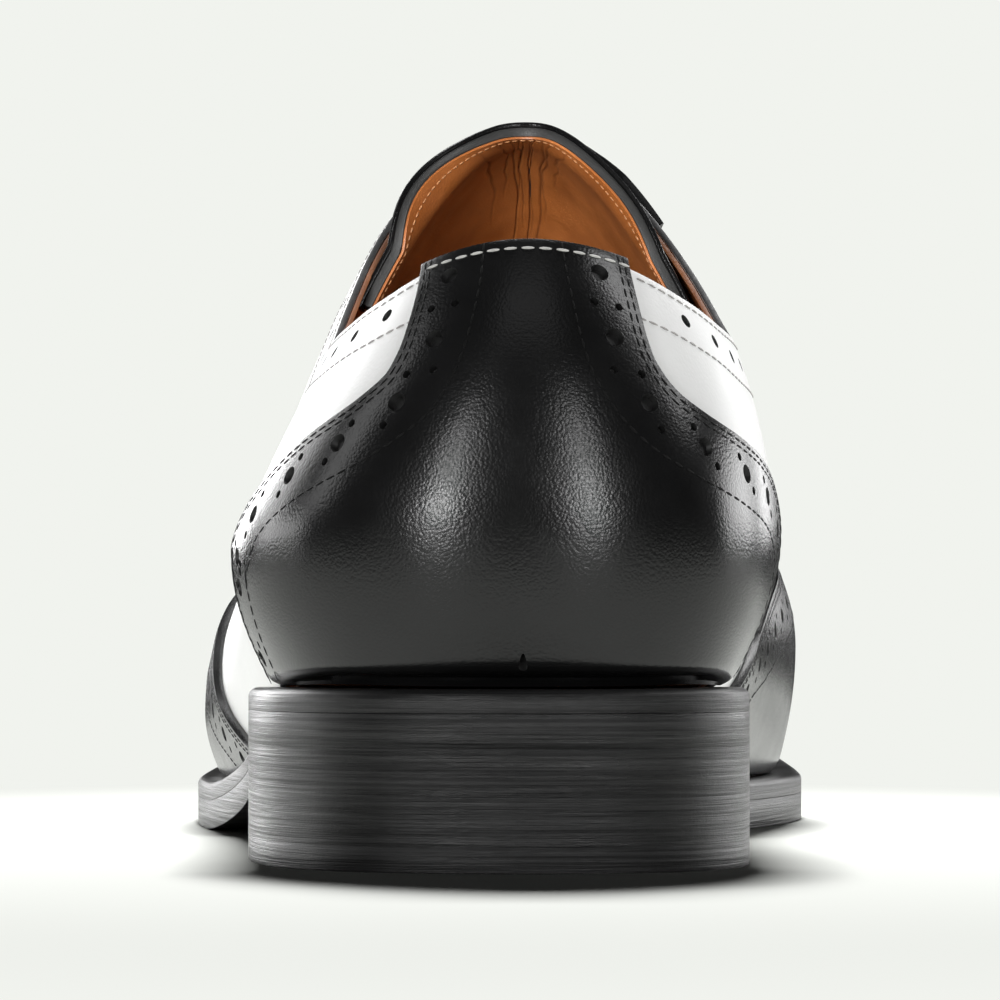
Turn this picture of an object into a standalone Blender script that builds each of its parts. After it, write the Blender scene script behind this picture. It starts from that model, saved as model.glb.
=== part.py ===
"""A left wingtip shoe: upper on a last, four leather overlays, tongue, laces, insole and welted sole.

Metres, +Z up, +Y towards the toe, +X towards the inner (medial) side of the foot.
The origin is at the floor, under the middle of the sole's box.
"""

import math

import bmesh
import bpy
import numpy as np

MM = 0.001

# Sole: thickness of each layer, and the tread line from heel to toe
OUTSOLE = 4.4 * MM
WELT = 3.0 * MM
INSOLE = 3.0 * MM
TOP_LIFT = 3.3 * MM
GAP = 0.3 * MM
HEEL_RISE = 16.3 * MM
TOE_SPRING = 14.5 * MM
SEAT_FRONT_Y = 42 * MM
BALL_REAR_Y = 160 * MM
BALL_FRONT_Y = 191 * MM
TOE_Y = 302 * MM
HEEL_BREAST_Y = 62 * MM
WELT_WIDTH_INSIDE = 9.0 * MM
INSOLE_INSET = 3.0 * MM
SOLE_EDGE_ROUND = 0.6 * MM
HEEL_EDGE_ROUND = 0.9 * MM

# Leather
UPPER_WALL = 2.0 * MM
OVERLAY = 1.2 * MM
OVERLAY_GAP = 0.35 * MM
TONGUE = 2.2 * MM
TONGUE_GAP = 0.5 * MM
OUTER_FLARE = 4.2 * MM  # how far the tongue's free top arches out on each side
INNER_FLARE = 0.7 * MM
FLARE_FOCUS = 2.6  # the higher, the nearer to the tongue's edge its arch lies

# Throat and laces
THROAT_Y = 161 * MM
THROAT_HALF_GAP = 5.5 * MM
THROAT_ROUND = 6 * MM
LACE_RADIUS = 1.2 * MM
EYELET_FROM_RIDGE = 11.5 * MM
LACE_ROWS = (127 * MM, 134 * MM, 141 * MM, 148 * MM, 155 * MM)  # y of each bar
LACE_SPOTS = (0.4, 0.7, 1.0)  # shares of the way from the ridge to an eyelet

# The last, a row for each section from the heel back to the toe tip, outer side and inner side.
# Columns: feather edge x, y; bulge outward, bulge height; fullness above the bulge, fullness at the ridge;
# sole margin. Sizes in millimetres.
OUTER_SIDE = (
    (3.0, 5.0, 2.4, 21.0, 0.58, 0.46, 5.0),
    (-18.6, 12.0, 3.6, 20.0, 0.34, 0.34, 4.7),
    (-29.0, 33.0, 5.8, 19.0, 0.13, 0.26, 4.4),
    (-31.3, 62.0, 6.0, 19.0, 0.05, 0.38, 4.4),
    (-32.5, 92.0, 5.8, 20.0, 0.06, 0.54, 4.0),
    (-36.0, 122.0, 4.8, 18.0, 0.28, 0.38, 4.2),
    (-41.6, 153.0, 3.3, 13.0, 0.42, 0.42, 5.0),
    (-45.2, 187.0, 2.7, 10.5, 0.50, 0.50, 5.4),
    (-43.8, 219.0, 2.4, 10.0, 0.54, 0.54, 6.0),
    (-36.0, 252.0, 2.2, 10.0, 0.58, 0.58, 6.4),
    (-20.5, 282.0, 2.0, 10.0, 0.60, 0.60, 6.9),
    (4.5, 294.0, 2.0, 10.0, 0.62, 0.60, 7.0),
)
INNER_SIDE = (
    (3.0, 5.0, 2.4, 21.0, 0.58, 0.46, 5.0),
    (23.6, 12.5, 3.6, 20.0, 0.46, 0.40, 4.7),
    (30.0, 34.0, 6.2, 21.0, 0.44, 0.38, 4.2),
    (29.5, 62.0, 9.4, 24.0, 0.42, 0.38, 4.0),
    (25.5, 92.0, 13.2, 27.0, 0.46, 0.36, 3.2),
    (27.2, 124.0, 11.0, 25.0, 0.46, 0.46, 3.8),
    (35.8, 158.0, 6.3, 22.0, 0.46, 0.46, 5.0),
    (44.7, 193.0, 3.6, 22.0, 0.52, 0.52, 5.5),
    (45.2, 222.0, 2.7, 17.0, 0.55, 0.55, 6.0),
    (39.6, 254.0, 2.2, 11.0, 0.58, 0.58, 6.4),
    (26.8, 281.5, 2.0, 10.0, 0.60, 0.60, 6.9),
    (4.5, 294.0, 2.0, 10.0, 0.62, 0.60, 7.0),
)
# The ridge that the two sides meet on, a point for each section. Columns: x, y, z; fall per unit of y.
RIDGE = (
    (3.6, 54.0, 105.0, 0.0),
    (3.6, 59.0, 105.5, 0.0),
    (3.8, 72.0, 108.0, 0.0),
    (4.2, 93.0, 110.5, -0.05),
    (4.2, 115.0, 108.5, -0.32),
    (4.0, 138.0, 97.5, -0.56),
    (3.6, 162.0, 83.0, -0.60),
    (2.8, 188.0, 68.5, -0.47),
    (2.2, 213.0, 58.0, -0.36),
    (2.6, 236.0, 50.5, -0.29),
    (3.4, 252.0, 46.2, -0.26),
    (4.0, 260.0, 44.2, -0.25),
)
# Top edge of the upper in side view. Columns: y, z in millimetres.
TOPLINE = (
    (6, 87.6), (12, 85.0), (18, 81.6), (28, 76.8), (42, 73.9), (58, 73.2),
    (72, 75.6), (88, 85.0), (100, 94.5), (108, 101.5), (116, 108.0),
)
# Edges of the overlays over the last. Columns: share of the way up a section, section on the outer side,
# section on the inner side. The counter lies behind its edge, the wing cap in front of its edge.
COUNTER_EDGE = (
    (0.00, 2.25, 2.50), (0.10, 2.20, 2.50), (0.20, 2.15, 2.40), (0.26, 2.08, 2.12), (0.30, 1.97, 1.75),
    (0.325, 1.82, 1.42), (0.35, 1.63, 1.09), (0.37, 1.38, 0.90), (0.39, 0.98, 0.81), (0.41, 0.79, 0.76),
    (0.45, 0.72, 0.73), (0.50, 0.70, 0.72), (0.60, 0.76, 0.75),
)
WING_EDGE = (
    (0.00, 4.90, 4.60), (0.05, 5.15, 4.85), (0.12, 5.45, 5.20), (0.19, 5.75, 5.60), (0.27, 6.20, 6.18),
    (0.36, 6.75, 6.90), (0.50, 7.60, 7.60), (0.65, 8.20, 8.20), (0.78, 8.55, 8.55), (0.88, 8.40, 8.40),
    (0.95, 7.95, 7.95), (1.00, 7.50, 7.50),
)
# Half width of a facing from the ridge. Columns: section, width in millimetres.
FACING_WIDTH = ((3.0, 0), (3.2, 22.5), (4.0, 19.4), (5.0, 18.4), (5.4, 16.5), (5.7, 12.0), (5.92, 0))
# Half width of the tongue from the ridge. Columns: section, width in millimetres.
TONGUE_WIDTH = ((3.3, 21.5), (3.75, 23.0), (4.5, 22.5), (5.5, 20.0), (6.3, 18.0), (6.6, 15.0))
TONGUE_TOP, TONGUE_FREE, TONGUE_FOOT = 3.32, 3.7, 6.6
TONGUE_TOP_ROUND = 0.15  # sections by which the tongue's top corners lie lower than its middle

SECTIONS = len(RIDGE) - 1
BULGE = 0.2  # share of a section's length that lies below its bulge
FOOT_OUT, FOOT_UP, FOOT_BACK = 0.35, 0.25, 0.45  # handles of the curve below the bulge, as shares of it
FEATHER_CLEAR = 0.02  # share of a section left free between an overlay and the welt
TONGUE_LOWEST = 0.4  # share of the way up a section that the tongue stays above
STEPS_AROUND = 72
STEPS_UP = 15
SAMPLES = 400  # points along a curve that is searched
SEEK_STEPS = 6
CUT_STEPS = 14  # halvings that find where an edge is cut
CUT_MARGIN = 0.02  # least share of an edge that a cut leaves
NORMAL_STEP = 1e-3
MERGE = 1e-6
SHARP_ANGLE = math.radians(40)
BEVEL_ANGLE = math.radians(50)

WHITE_LEATHER = ("white_leather", (0.80, 0.80, 0.78), 0.42)
BLACK_LEATHER = ("black_leather", (0.018, 0.018, 0.019), 0.38)
BLACK_EDGE = ("black_sole_edge", (0.035, 0.035, 0.036), 0.40)
BLACK_RUBBER = ("black_rubber", (0.028, 0.028, 0.028), 0.62)
TAN_LEATHER = ("tan_leather", (0.42, 0.17, 0.06), 0.55)
BLACK_CORD = ("black_cord", (0.02, 0.02, 0.02), 0.70)


def periodic_spline(rows):
    """Smooth closed curve through rows one unit apart; at(q) gives values, at(q, True) their slope."""
    values = np.asarray(rows, float)
    count = len(values)
    ring = 4 * np.eye(count) + np.roll(np.eye(count), 1, 0) + np.roll(np.eye(count), -1, 0)
    second = np.linalg.solve(ring, 6 * (np.roll(values, -1, 0) - 2 * values + np.roll(values, 1, 0)))

    def at(q, slope=False):
        q = np.asarray(q, float) % count
        i = np.floor(q).astype(int) % count
        j = (i + 1) % count
        b = (q - np.floor(q))[..., None]
        a = 1 - b
        if slope:
            return values[j] - values[i] + (1 - 3 * a * a) * second[i] / 6 + (3 * b * b - 1) * second[j] / 6
        return values[i] * a + values[j] * b + (a**3 - a) * second[i] / 6 + (b**3 - b) * second[j] / 6

    return at


def smooth_curve(table, column=1):
    """Curve through a table without overshoot between its rows, the first column being the place."""
    rows = np.asarray(table, float)
    place, value = rows[:, 0], rows[:, column]
    run = np.diff(place)
    rise = np.diff(value) / run
    slope = np.empty(len(place))
    slope[0], slope[-1] = rise[0], rise[-1]
    same_way = rise[1:] * rise[:-1] > 0
    total = np.where(same_way, rise[1:] + rise[:-1], 1)
    slope[1:-1] = np.where(same_way, 2 * rise[1:] * rise[:-1] / total, 0)

    def at(where):
        where = np.clip(where, place[0], place[-1])
        i = np.clip(np.searchsorted(place, where) - 1, 0, len(run) - 1)
        t = (where - place[i]) / run[i]
        start = value[i] * (1 + 2 * t) * (1 - t) ** 2 + slope[i] * run[i] * t * (1 - t) ** 2
        return start + value[i + 1] * t * t * (3 - 2 * t) + slope[i + 1] * run[i] * t * t * (t - 1)

    return at


def around(outer, inner):
    """Rows in one loop: heel back, outer side, toe tip, inner side."""
    return list(outer) + list(inner)[-2:0:-1]


LAST = np.array(around(OUTER_SIDE, INNER_SIDE))
feather = periodic_spline(LAST[:, :2] * MM)
bulge = periodic_spline(LAST[:, 2:4] * MM)
fullness = periodic_spline(LAST[:, 4:6])
margin = periodic_spline(LAST[:, 6:] * MM)
ridge_curve = periodic_spline(np.array(around(RIDGE, RIDGE)) * (MM, MM, MM, 1))
topline_height = smooth_curve(np.array(TOPLINE) * MM)
counter_edge = [smooth_curve(COUNTER_EDGE, column) for column in (1, 2)]
wing_edge = [smooth_curve(WING_EDGE, column) for column in (1, 2)]
facing_width = smooth_curve(np.array(FACING_WIDTH) * (1, MM))
tongue_width = smooth_curve(np.array(TONGUE_WIDTH) * (1, MM))


def smooth_step(t):
    t = np.clip(t, 0, 1)
    return t * t * (3 - 2 * t)


def tread(y):
    """Height of the outsole's underside: raised heel seat, arch, flat ball and toe spring."""
    arch = HEEL_RISE * smooth_step((BALL_REAR_Y - y) / (BALL_REAR_Y - SEAT_FRONT_Y))
    return arch + TOE_SPRING * np.clip((y - BALL_FRONT_Y) / (TOE_Y - BALL_FRONT_Y), 0, None) ** 2


def outward(q):
    """Unit normal of the feather edge in plan."""
    along = feather(q, slope=True)
    normal = np.stack([-along[..., 1], along[..., 0]], -1)
    return normal / np.linalg.norm(normal, axis=-1, keepdims=True)


def section_number(q):
    """Section that a place q around the loop is on, from 0 at the heel back to the toe tip."""
    return np.where(q > SECTIONS, 2 * SECTIONS - q, q)


def bezier(a, b, c, d, t):
    t = t[..., None]
    s = 1 - t
    return a * s**3 + 3 * b * s * s * t + 3 * c * s * t * t + d * t**3


def last_point(q, v):
    """Outer face of the upper: q runs around the loop, v from the feather edge to the ridge."""
    q, v = np.broadcast_arrays(np.asarray(q, float), np.asarray(v, float))
    foot = feather(q)
    height = tread(foot[..., 1]) + OUTSOLE + WELT + 2 * GAP
    foot = np.concatenate([foot, height[..., None]], -1)
    out = np.concatenate([outward(q), np.zeros(q.shape + (1,))], -1)
    up = np.array((0.0, 0.0, 1.0))
    swell, rise = np.moveaxis(bulge(q), -1, 0)[..., None]
    full_side, full_top = np.moveaxis(fullness(q), -1, 0)[..., None]
    crest = ridge_curve(q)
    fall = crest[..., 3]
    crest = crest[..., :3]
    widest = foot + out * swell + up * rise
    inward = widest - crest
    inward[..., 2] = fall * inward[..., 1]
    climb = (crest - widest)[..., 2:]
    foot_handle = foot + out * swell * FOOT_OUT + up * rise * FOOT_UP
    low = bezier(foot, foot_handle, widest - up * rise * FOOT_BACK, widest, np.clip(v / BULGE, 0, 1))
    side_handle = widest + up * full_side * climb
    share_up = np.clip((v - BULGE) / (1 - BULGE), 0, 1)
    high = bezier(widest, side_handle, crest + inward * full_top, crest, share_up)
    return np.where((v <= BULGE)[..., None], low, high)


def last_normal(q, v):
    """Unit normal of the last, pointing out."""
    v = np.clip(v, NORMAL_STEP, 1 - NORMAL_STEP)
    along = last_point(q + NORMAL_STEP, v) - last_point(q - NORMAL_STEP, v)
    upward = last_point(q, v + NORMAL_STEP) - last_point(q, v - NORMAL_STEP)
    normal = np.cross(upward, along)
    return normal / np.linalg.norm(normal, axis=-1, keepdims=True)


def offset_point(q, v, distance):
    return last_point(q, v) + last_normal(q, v) * distance


def sole_outline(q, inset=0.0):
    return feather(q) + outward(q) * (margin(q) - inset)


def from_ridge(q, v):
    """Sideways distance of a place on the last from the ridge."""
    return abs(last_point(q, v)[..., 0] - ridge_curve(q)[..., 0])


# What is kept of the last's surface for each piece: positive inside the piece
def in_upper(q, v):
    point = last_point(q, v)
    below_topline = topline_height(point[1]) - point[2]
    if section_number(q) < TONGUE_TOP:
        return below_topline
    opening = THROAT_HALF_GAP * math.sqrt(min(max((THROAT_Y - point[1]) / THROAT_ROUND, 0), 1))
    return min(below_topline, from_ridge(q, v) - opening + max(point[1] - THROAT_Y, 0))


def in_counter(q, v):
    edge = counter_edge[int(q > SECTIONS)](v) - section_number(q)
    return min(edge, v - FEATHER_CLEAR, in_upper(q, v))


def in_wing(q, v):
    return min(section_number(q) - wing_edge[int(q > SECTIONS)](v), v - FEATHER_CLEAR)


def in_facing(q, v):
    return min(facing_width(section_number(q)) - from_ridge(q, v), in_upper(q, v))


def in_outer_facing(q, v):
    return in_facing(q, v) if q < SECTIONS else -1.0


def in_inner_facing(q, v):
    return in_facing(q, v) if q > SECTIONS else -1.0


def in_tongue(q, v):
    section = section_number(q)
    half_width = tongue_width(section)
    across = from_ridge(q, v)
    top = TONGUE_TOP + TONGUE_TOP_ROUND * (across / half_width) ** 2
    return min(half_width - across, v - TONGUE_LOWEST, section - top, TONGUE_FOOT - section)


# Distance of each leather piece from the last's surface
def on_last(_q, _v):
    return 0.0


def over_upper(_q, _v):
    return OVERLAY_GAP


def under_upper(q, v):
    """Inside the upper, with the tongue's free top arching out above the topline."""
    section = section_number(q)
    across = min(from_ridge(q, v) / tongue_width(section), 1)
    free = smooth_step((TONGUE_FREE - section) / (TONGUE_FREE - TONGUE_TOP))
    flare = INNER_FLARE if q > SECTIONS else OUTER_FLARE
    return flare * free * math.sin(math.pi * across**FLARE_FOCUS) - UPPER_WALL - TONGUE_GAP


def material(name, colour, roughness):
    found = bpy.data.materials.get(name)
    if found:
        return found
    made = bpy.data.materials.new(name)
    made.use_nodes = True
    shader = made.node_tree.nodes["Principled BSDF"]
    shader.inputs["Base Color"].default_value = (*colour, 1.0)
    shader.inputs["Roughness"].default_value = roughness
    shader.inputs["Metallic"].default_value = 0.0
    return made


def add_object(name, data, finish):
    """A new object in the shoe's collection, with its material."""
    obj = bpy.data.objects.new(name, data)
    shoe.objects.link(obj)
    data.materials.append(material(*finish))
    return obj


def mesh_from(name, bm, finish):
    bmesh.ops.recalc_face_normals(bm, faces=bm.faces)
    mesh = bpy.data.meshes.new(name)
    bm.to_mesh(mesh)
    bm.free()
    mesh.shade_smooth()
    mesh.set_sharp_from_angle(angle=SHARP_ANGLE)
    return add_object(name, mesh, finish)


def add_face(bm, corners):
    """A face on the corners given, with repeated ones left out."""
    corners = list(dict.fromkeys(corners))
    if len(corners) > 2:
        bm.faces.new(corners)


def last_sheet(distance):
    """The whole last as an open sheet, offset by a distance, with each vertex's place (q, v) on it."""
    bm = bmesh.new()
    places = {}
    around_last = np.linspace(0, 2 * SECTIONS, STEPS_AROUND, endpoint=False)
    up_last = np.linspace(0, 1, STEPS_UP + 1)
    columns = []
    for i, q in enumerate(around_last):
        column = []
        for v in up_last[:-1]:
            vert = bm.verts.new(place(offset_point(q, v, distance(q, v))))
            places[vert] = (q, v)
            column.append(vert)
        mirrored = (STEPS_AROUND - i) % STEPS_AROUND
        if mirrored < i:
            column.append(columns[mirrored][-1])
        else:
            crest = bm.verts.new(place(offset_point(q, 1.0, distance(q, 1.0))))
            places[crest] = (q, 1.0)
            column.append(crest)
        columns.append(column)
    for i, column in enumerate(columns):
        following = columns[(i + 1) % STEPS_AROUND]
        for j in range(STEPS_UP):
            add_face(bm, (column[j], following[j], following[j + 1], column[j + 1]))
    return bm, places


def nearer_side(place_a, place_b):
    """Both ends of an edge on one side of the loop: a ridge vertex lies on either side."""
    neighbours = abs(place_a[0] - place_b[0]) < 1
    if place_a[1] == 1.0 and not neighbours:
        return ((2 * SECTIONS - place_a[0]) % (2 * SECTIONS), 1.0)
    if place_b[0] - place_a[0] > SECTIONS:
        return (place_a[0] + 2 * SECTIONS, place_a[1])
    return place_a


def cut_sheet(bm, places, inside, distance):
    """Trims the sheet along the line where inside(q, v) changes sign."""
    kept = {vert: inside(*places[vert]) > 0 for vert in bm.verts}
    crossed = [edge for edge in bm.edges if kept[edge.verts[0]] != kept[edge.verts[1]]]
    new_verts = []
    for edge in crossed:
        first, second = edge.verts
        far = nearer_side(places[second], places[first])
        near = nearer_side(places[first], far)
        low, high = 0.0, 1.0
        for _ in range(CUT_STEPS):
            middle = (low + high) / 2
            q = near[0] + (far[0] - near[0]) * middle
            v = near[1] + (far[1] - near[1]) * middle
            if (inside(q % (2 * SECTIONS), v) > 0) == kept[first]:
                low = middle
            else:
                high = middle
        share = min(max(low, CUT_MARGIN), 1 - CUT_MARGIN)
        q = near[0] + (far[0] - near[0]) * share
        v = near[1] + (far[1] - near[1]) * share
        _, vert = bmesh.utils.edge_split(edge, first, share)
        vert.co = place(offset_point(q, v, distance(q, v)))
        new_verts.append(vert)
    bmesh.ops.connect_verts(bm, verts=new_verts)
    on_cut = set(new_verts)
    outside = [face for face in bm.faces if any(not kept[vert] for vert in face.verts if vert not in on_cut)]
    bmesh.ops.delete(bm, geom=outside, context="FACES")
    loose = [vert for vert in bm.verts if not vert.link_faces]
    bmesh.ops.delete(bm, geom=loose, context="VERTS")


def leather(name, inside, distance, thickness, finish):
    """A piece of the last's own surface at a distance(q, v) from it; a negative thickness goes inwards."""
    bm, places = last_sheet(distance)
    cut_sheet(bm, places, inside, distance)
    obj = mesh_from(name, bm, finish)
    solid = obj.modifiers.new("thickness", "SOLIDIFY")
    solid.thickness = abs(thickness)
    solid.offset = math.copysign(1, thickness)
    solid.use_even_offset = True
    return obj


def half_loops(last_section, steps):
    """Places around the loop from a section on the outer side, round the heel, to it on the inner side."""
    sections = np.linspace(last_section, 0, steps)
    return np.concatenate([sections, (2 * SECTIONS - sections[-2::-1])])


def slab(name, levels, finish, edge_round=0.0):
    """A closed solid through stacked loops that match point by point, low to high."""
    bm = bmesh.new()
    rings = [[bm.verts.new(place(point)) for point in level] for level in levels]
    count = len(levels[0])
    for low, high in zip(rings, rings[1:]):
        for i in range(count):
            j = (i + 1) % count
            add_face(bm, (low[i], low[j], high[j], high[i]))
    for ring in (rings[0], rings[-1]):
        for i in range(count // 2):
            add_face(bm, (ring[i], ring[i + 1], ring[count - 2 - i], ring[count - 1 - i]))
    bmesh.ops.remove_doubles(bm, verts=bm.verts, dist=MERGE)
    obj = mesh_from(name, bm, finish)
    if edge_round:
        rounding = obj.modifiers.new("edge", "BEVEL")
        rounding.width = edge_round
        rounding.segments = 1
        rounding.limit_method = "ANGLE"
        rounding.angle_limit = BEVEL_ANGLE
    return obj


def at_height(outline, height):
    return np.column_stack([outline, np.broadcast_to(height, len(outline))])


def ring_piece(name, levels, finish):
    """A closed ring whose section runs through the loops given, in order."""
    bm = bmesh.new()
    rings = [[bm.verts.new(place(point)) for point in level] for level in levels]
    count = len(levels[0])
    for ring, following in zip(rings, rings[1:] + rings[:1]):
        for i in range(count):
            j = (i + 1) % count
            add_face(bm, (ring[i], ring[j], following[j], following[i]))
    return mesh_from(name, bm, finish)


def make_upper():
    leather("upper", in_upper, on_last, -UPPER_WALL, WHITE_LEATHER)


def make_overlays():
    pieces = {
        "counter": in_counter,
        "wing_cap": in_wing,
        "facing_lateral": in_outer_facing,
        "facing_medial": in_inner_facing,
    }
    for name, inside in pieces.items():
        leather(name, inside, over_upper, OVERLAY, BLACK_LEATHER)


def make_tongue():
    leather("tongue", in_tongue, under_upper, -TONGUE, BLACK_LEATHER)


def make_insole():
    q = half_loops(SECTIONS, STEPS_AROUND // 2)
    outline = feather(q) - outward(q) * INSOLE_INSET
    low = tread(outline[:, 1]) + OUTSOLE + WELT + 2 * GAP
    slab("insole", [at_height(outline, low), at_height(outline, low + INSOLE)], TAN_LEATHER)


def make_welt():
    q = np.linspace(0, 2 * SECTIONS, STEPS_AROUND, endpoint=False)
    outer = sole_outline(q)
    inner = sole_outline(q, margin(q) + WELT_WIDTH_INSIDE)
    levels = []
    for outline, share in ((outer, 0), (outer, 1), (inner, 1), (inner, 0)):
        levels.append(at_height(outline, tread(outline[:, 1]) + OUTSOLE + GAP + share * WELT))
    ring_piece("welt", levels, BLACK_EDGE)


def make_outsole():
    q = half_loops(SECTIONS, STEPS_AROUND // 2)
    outline = sole_outline(q)
    low = tread(outline[:, 1])
    slab("outsole", [at_height(outline, low), at_height(outline, low + OUTSOLE)], BLACK_EDGE, SOLE_EDGE_ROUND)


def make_heel():
    sections = np.linspace(0, SECTIONS, SAMPLES)
    breast = max(np.interp(HEEL_BREAST_Y, sole_outline(q)[:, 1], sections)
                 for q in (sections, 2 * SECTIONS - sections))
    outline = sole_outline(half_loops(breast, STEPS_AROUND // 6))
    outline[:, 1] = np.minimum(outline[:, 1], HEEL_BREAST_Y)
    seat = tread(outline[:, 1]) - GAP
    slab("heel_stack", [at_height(outline, TOP_LIFT + GAP), at_height(outline, seat)], BLACK_EDGE)
    slab("top_lift", [at_height(outline, 0.0), at_height(outline, TOP_LIFT)], BLACK_RUBBER, HEEL_EDGE_ROUND)


def spot_on_last(y, across, inner):
    """Place (q, v) at a given y and distance from the ridge, on the inner or the outer side."""
    up_last = np.linspace(TONGUE_LOWEST, 1, SAMPLES)
    sections = np.linspace(0, SECTIONS, SAMPLES)
    section = np.interp(y, ridge_curve(sections)[:, 1], sections)
    for _ in range(SEEK_STEPS):
        q = 2 * SECTIONS - section if inner else section
        v = np.interp(-across, -from_ridge(np.full(SAMPLES, q), up_last), up_last)
        section += (y - last_point(q, v)[1]) / ridge_curve(section, slope=True)[1]
    return q, v


def lace_path(y):
    """Points straight across the throat, over both facings."""
    clearance = OVERLAY_GAP + OVERLAY + GAP + LACE_RADIUS
    spots = [(share, False) for share in LACE_SPOTS[::-1]]
    spots += [(0.0, False)]
    spots += [(share, True) for share in LACE_SPOTS]
    points = []
    for share, inner in spots:
        q, v = spot_on_last(y, share * EYELET_FROM_RIDGE, inner)
        points.append(place(offset_point(q, v, clearance)))
    return points


def make_laces():
    for row, y in enumerate(LACE_ROWS, 1):
        curve = bpy.data.curves.new(f"lace_{row}", "CURVE")
        curve.dimensions = "3D"
        curve.bevel_depth = LACE_RADIUS
        curve.bevel_resolution = 2
        curve.use_fill_caps = True
        points = lace_path(y)
        spline = curve.splines.new("POLY")
        spline.points.add(len(points) - 1)
        for spot, point in zip(spline.points, points):
            spot.co = (*point, 1.0)
        add_object(f"lace_{row}", curve, BLACK_CORD)


SOLE_LOOP = sole_outline(np.linspace(0, 2 * SECTIONS, STEPS_AROUND, endpoint=False))
BOX_MIDDLE = (SOLE_LOOP.min(axis=0) + SOLE_LOOP.max(axis=0)) / 2


def place(point):
    """A point of the last moved so that the sole's box is centred on the origin."""
    return (point[0] - BOX_MIDDLE[0], point[1] - BOX_MIDDLE[1], point[2])


for old in list(bpy.data.objects):
    bpy.data.objects.remove(old, do_unlink=True)
shoe = bpy.data.collections.new("wingtip_shoe")
bpy.context.scene.collection.children.link(shoe)
make_upper()
make_overlays()
make_tongue()
make_insole()
make_welt()
make_outsole()
make_heel()
make_laces()
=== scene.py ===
import math

import bpy
import numpy as np
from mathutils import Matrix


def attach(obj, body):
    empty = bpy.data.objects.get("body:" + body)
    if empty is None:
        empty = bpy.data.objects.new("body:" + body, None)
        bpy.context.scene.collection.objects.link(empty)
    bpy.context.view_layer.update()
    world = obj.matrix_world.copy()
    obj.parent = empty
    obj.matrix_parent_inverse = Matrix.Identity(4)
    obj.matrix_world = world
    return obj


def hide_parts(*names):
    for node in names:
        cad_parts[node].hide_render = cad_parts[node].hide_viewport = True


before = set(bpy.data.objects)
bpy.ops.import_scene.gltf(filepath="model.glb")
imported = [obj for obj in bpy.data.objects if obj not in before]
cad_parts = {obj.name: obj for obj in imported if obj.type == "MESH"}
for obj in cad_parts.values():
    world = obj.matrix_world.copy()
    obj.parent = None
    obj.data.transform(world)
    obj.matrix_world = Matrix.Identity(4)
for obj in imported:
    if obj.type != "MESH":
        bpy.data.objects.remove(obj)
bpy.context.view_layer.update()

MM = 0.001

# Sole layers and the tread line, as in the solids
OUTSOLE = 4.4 * MM
WELT = 3.0 * MM
INSOLE = 3.0 * MM
TOP_LIFT = 3.3 * MM
GAP = 0.3 * MM
HEEL_RISE = 16.3 * MM
TOE_SPRING = 14.5 * MM
SEAT_FRONT_Y = 42 * MM
BALL_REAR_Y = 160 * MM
BALL_FRONT_Y = 191 * MM
TOE_Y = 302 * MM
HEEL_BREAST_Y = 62 * MM
WELT_WIDTH_INSIDE = 9.0 * MM
INSOLE_INSET = 2.4 * MM
WELT_ROUND = 1.0 * MM
WELT_CORNER_POINTS = 5
SEAM_ROUND = 0.07 * MM
SPINE_START = 34 * MM
SPINE_END = 262 * MM
EDGE_CROWDING = 1.5  # crowds the points of the sole towards its edge
BREAST_SHARE = 0.8  # part of the heel's ring that runs round its back

# Leather
UPPER_LEATHER = 0.9 * MM
UPPER_WALL = 2.0 * MM
LINING_FACE = 1.75 * MM  # depth of the lining's face inside the upper's face
LINING = 0.7 * MM
OVERLAY_FACE = 1.5 * MM  # height of an overlay's face over the upper
OVERLAY = 1.45 * MM

# Rounding of edges
EDGE_ROUND = 0.4 * MM
UPPER_ROUND = 0.25 * MM
LINING_ROUND = 0.3 * MM
TONGUE_ROUND = 0.3 * MM
FELT_ROUND = 0.15 * MM
TONGUE_LINING_ROUND = 0.12 * MM

# Foot of the upper and its overlays. A START or a SPAN is a share of the way up a section.
FOOT_HEIGHT = 0.15 * MM  # height of an overlay's rolled foot
ROLL_START, ROLL_SPAN = 0.004, 0.036
GROOVE_DEPTH = 2.2 * MM  # of the groove between the counter and the heel's rim
GROOVE_END, GROOVE_FADE = 2.1, 1.0  # sections
GROOVE_START, GROOVE_TIGHTER = 0.011, 0.006  # added to the roll's start, taken off its span
BEHIND_GROOVE = 0.4 * MM
BEHIND_START, BEHIND_SPAN = 0.03, 0.04
FOOT_DROP_SPAN = 0.02
# painted shade in the groove: full up to this share of a section, gone at twice it
GROOVE_SHADE_SPAN = 0.010
LINING_START, LINING_SHORTER = 0.01, 0.012

# Rounding over the ridge
CREST_SMOOTHING = 10
CREST_START, CREST_SPAN = 0.86, 0.07  # shares of the way up a section
VAMP_CREST, VAMP_CREST_FADE = 6.9, 0.5  # sections
WING_CREST_HALF, WING_CREST_FADE = 0.48, 0.06  # shares of the wing cap's length
RIDGE_BLEND = 0.1

# Tongue
TONGUE = 2.2 * MM
TONGUE_SKIN = 0.8 * MM
TONGUE_GAP = 0.5 * MM
TONGUE_LINING = 0.35 * MM
TONGUE_LENGTH = 76 * MM
TONGUE_TOP, TONGUE_FREE, TONGUE_FOOT = 3.32, 3.7, 6.6  # sections
TONGUE_BEND = 0.73  # sections that the plan of the last falls back from the ridge to the tongue's side
TONGUE_BEND_ROUND = 0.35
TOP_WIDER = 4.5 * MM
WIDER_END, WIDER_FADE = 4.6, 0.8  # sections
FLARE_FOCUS = 2.6
FLARES = (5.6 * MM, 2.4 * MM)  # outer, inner
TAILS = (2.4 * MM, 0.4 * MM)  # outer, inner
TAIL_START, TAIL_SPAN = 0.3, 0.6  # shares of the tongue's half width
SHOULDER = 1.0 * MM
SHOULDER_PLACE, SHOULDER_WIDTH = 0.32, 0.26
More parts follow.
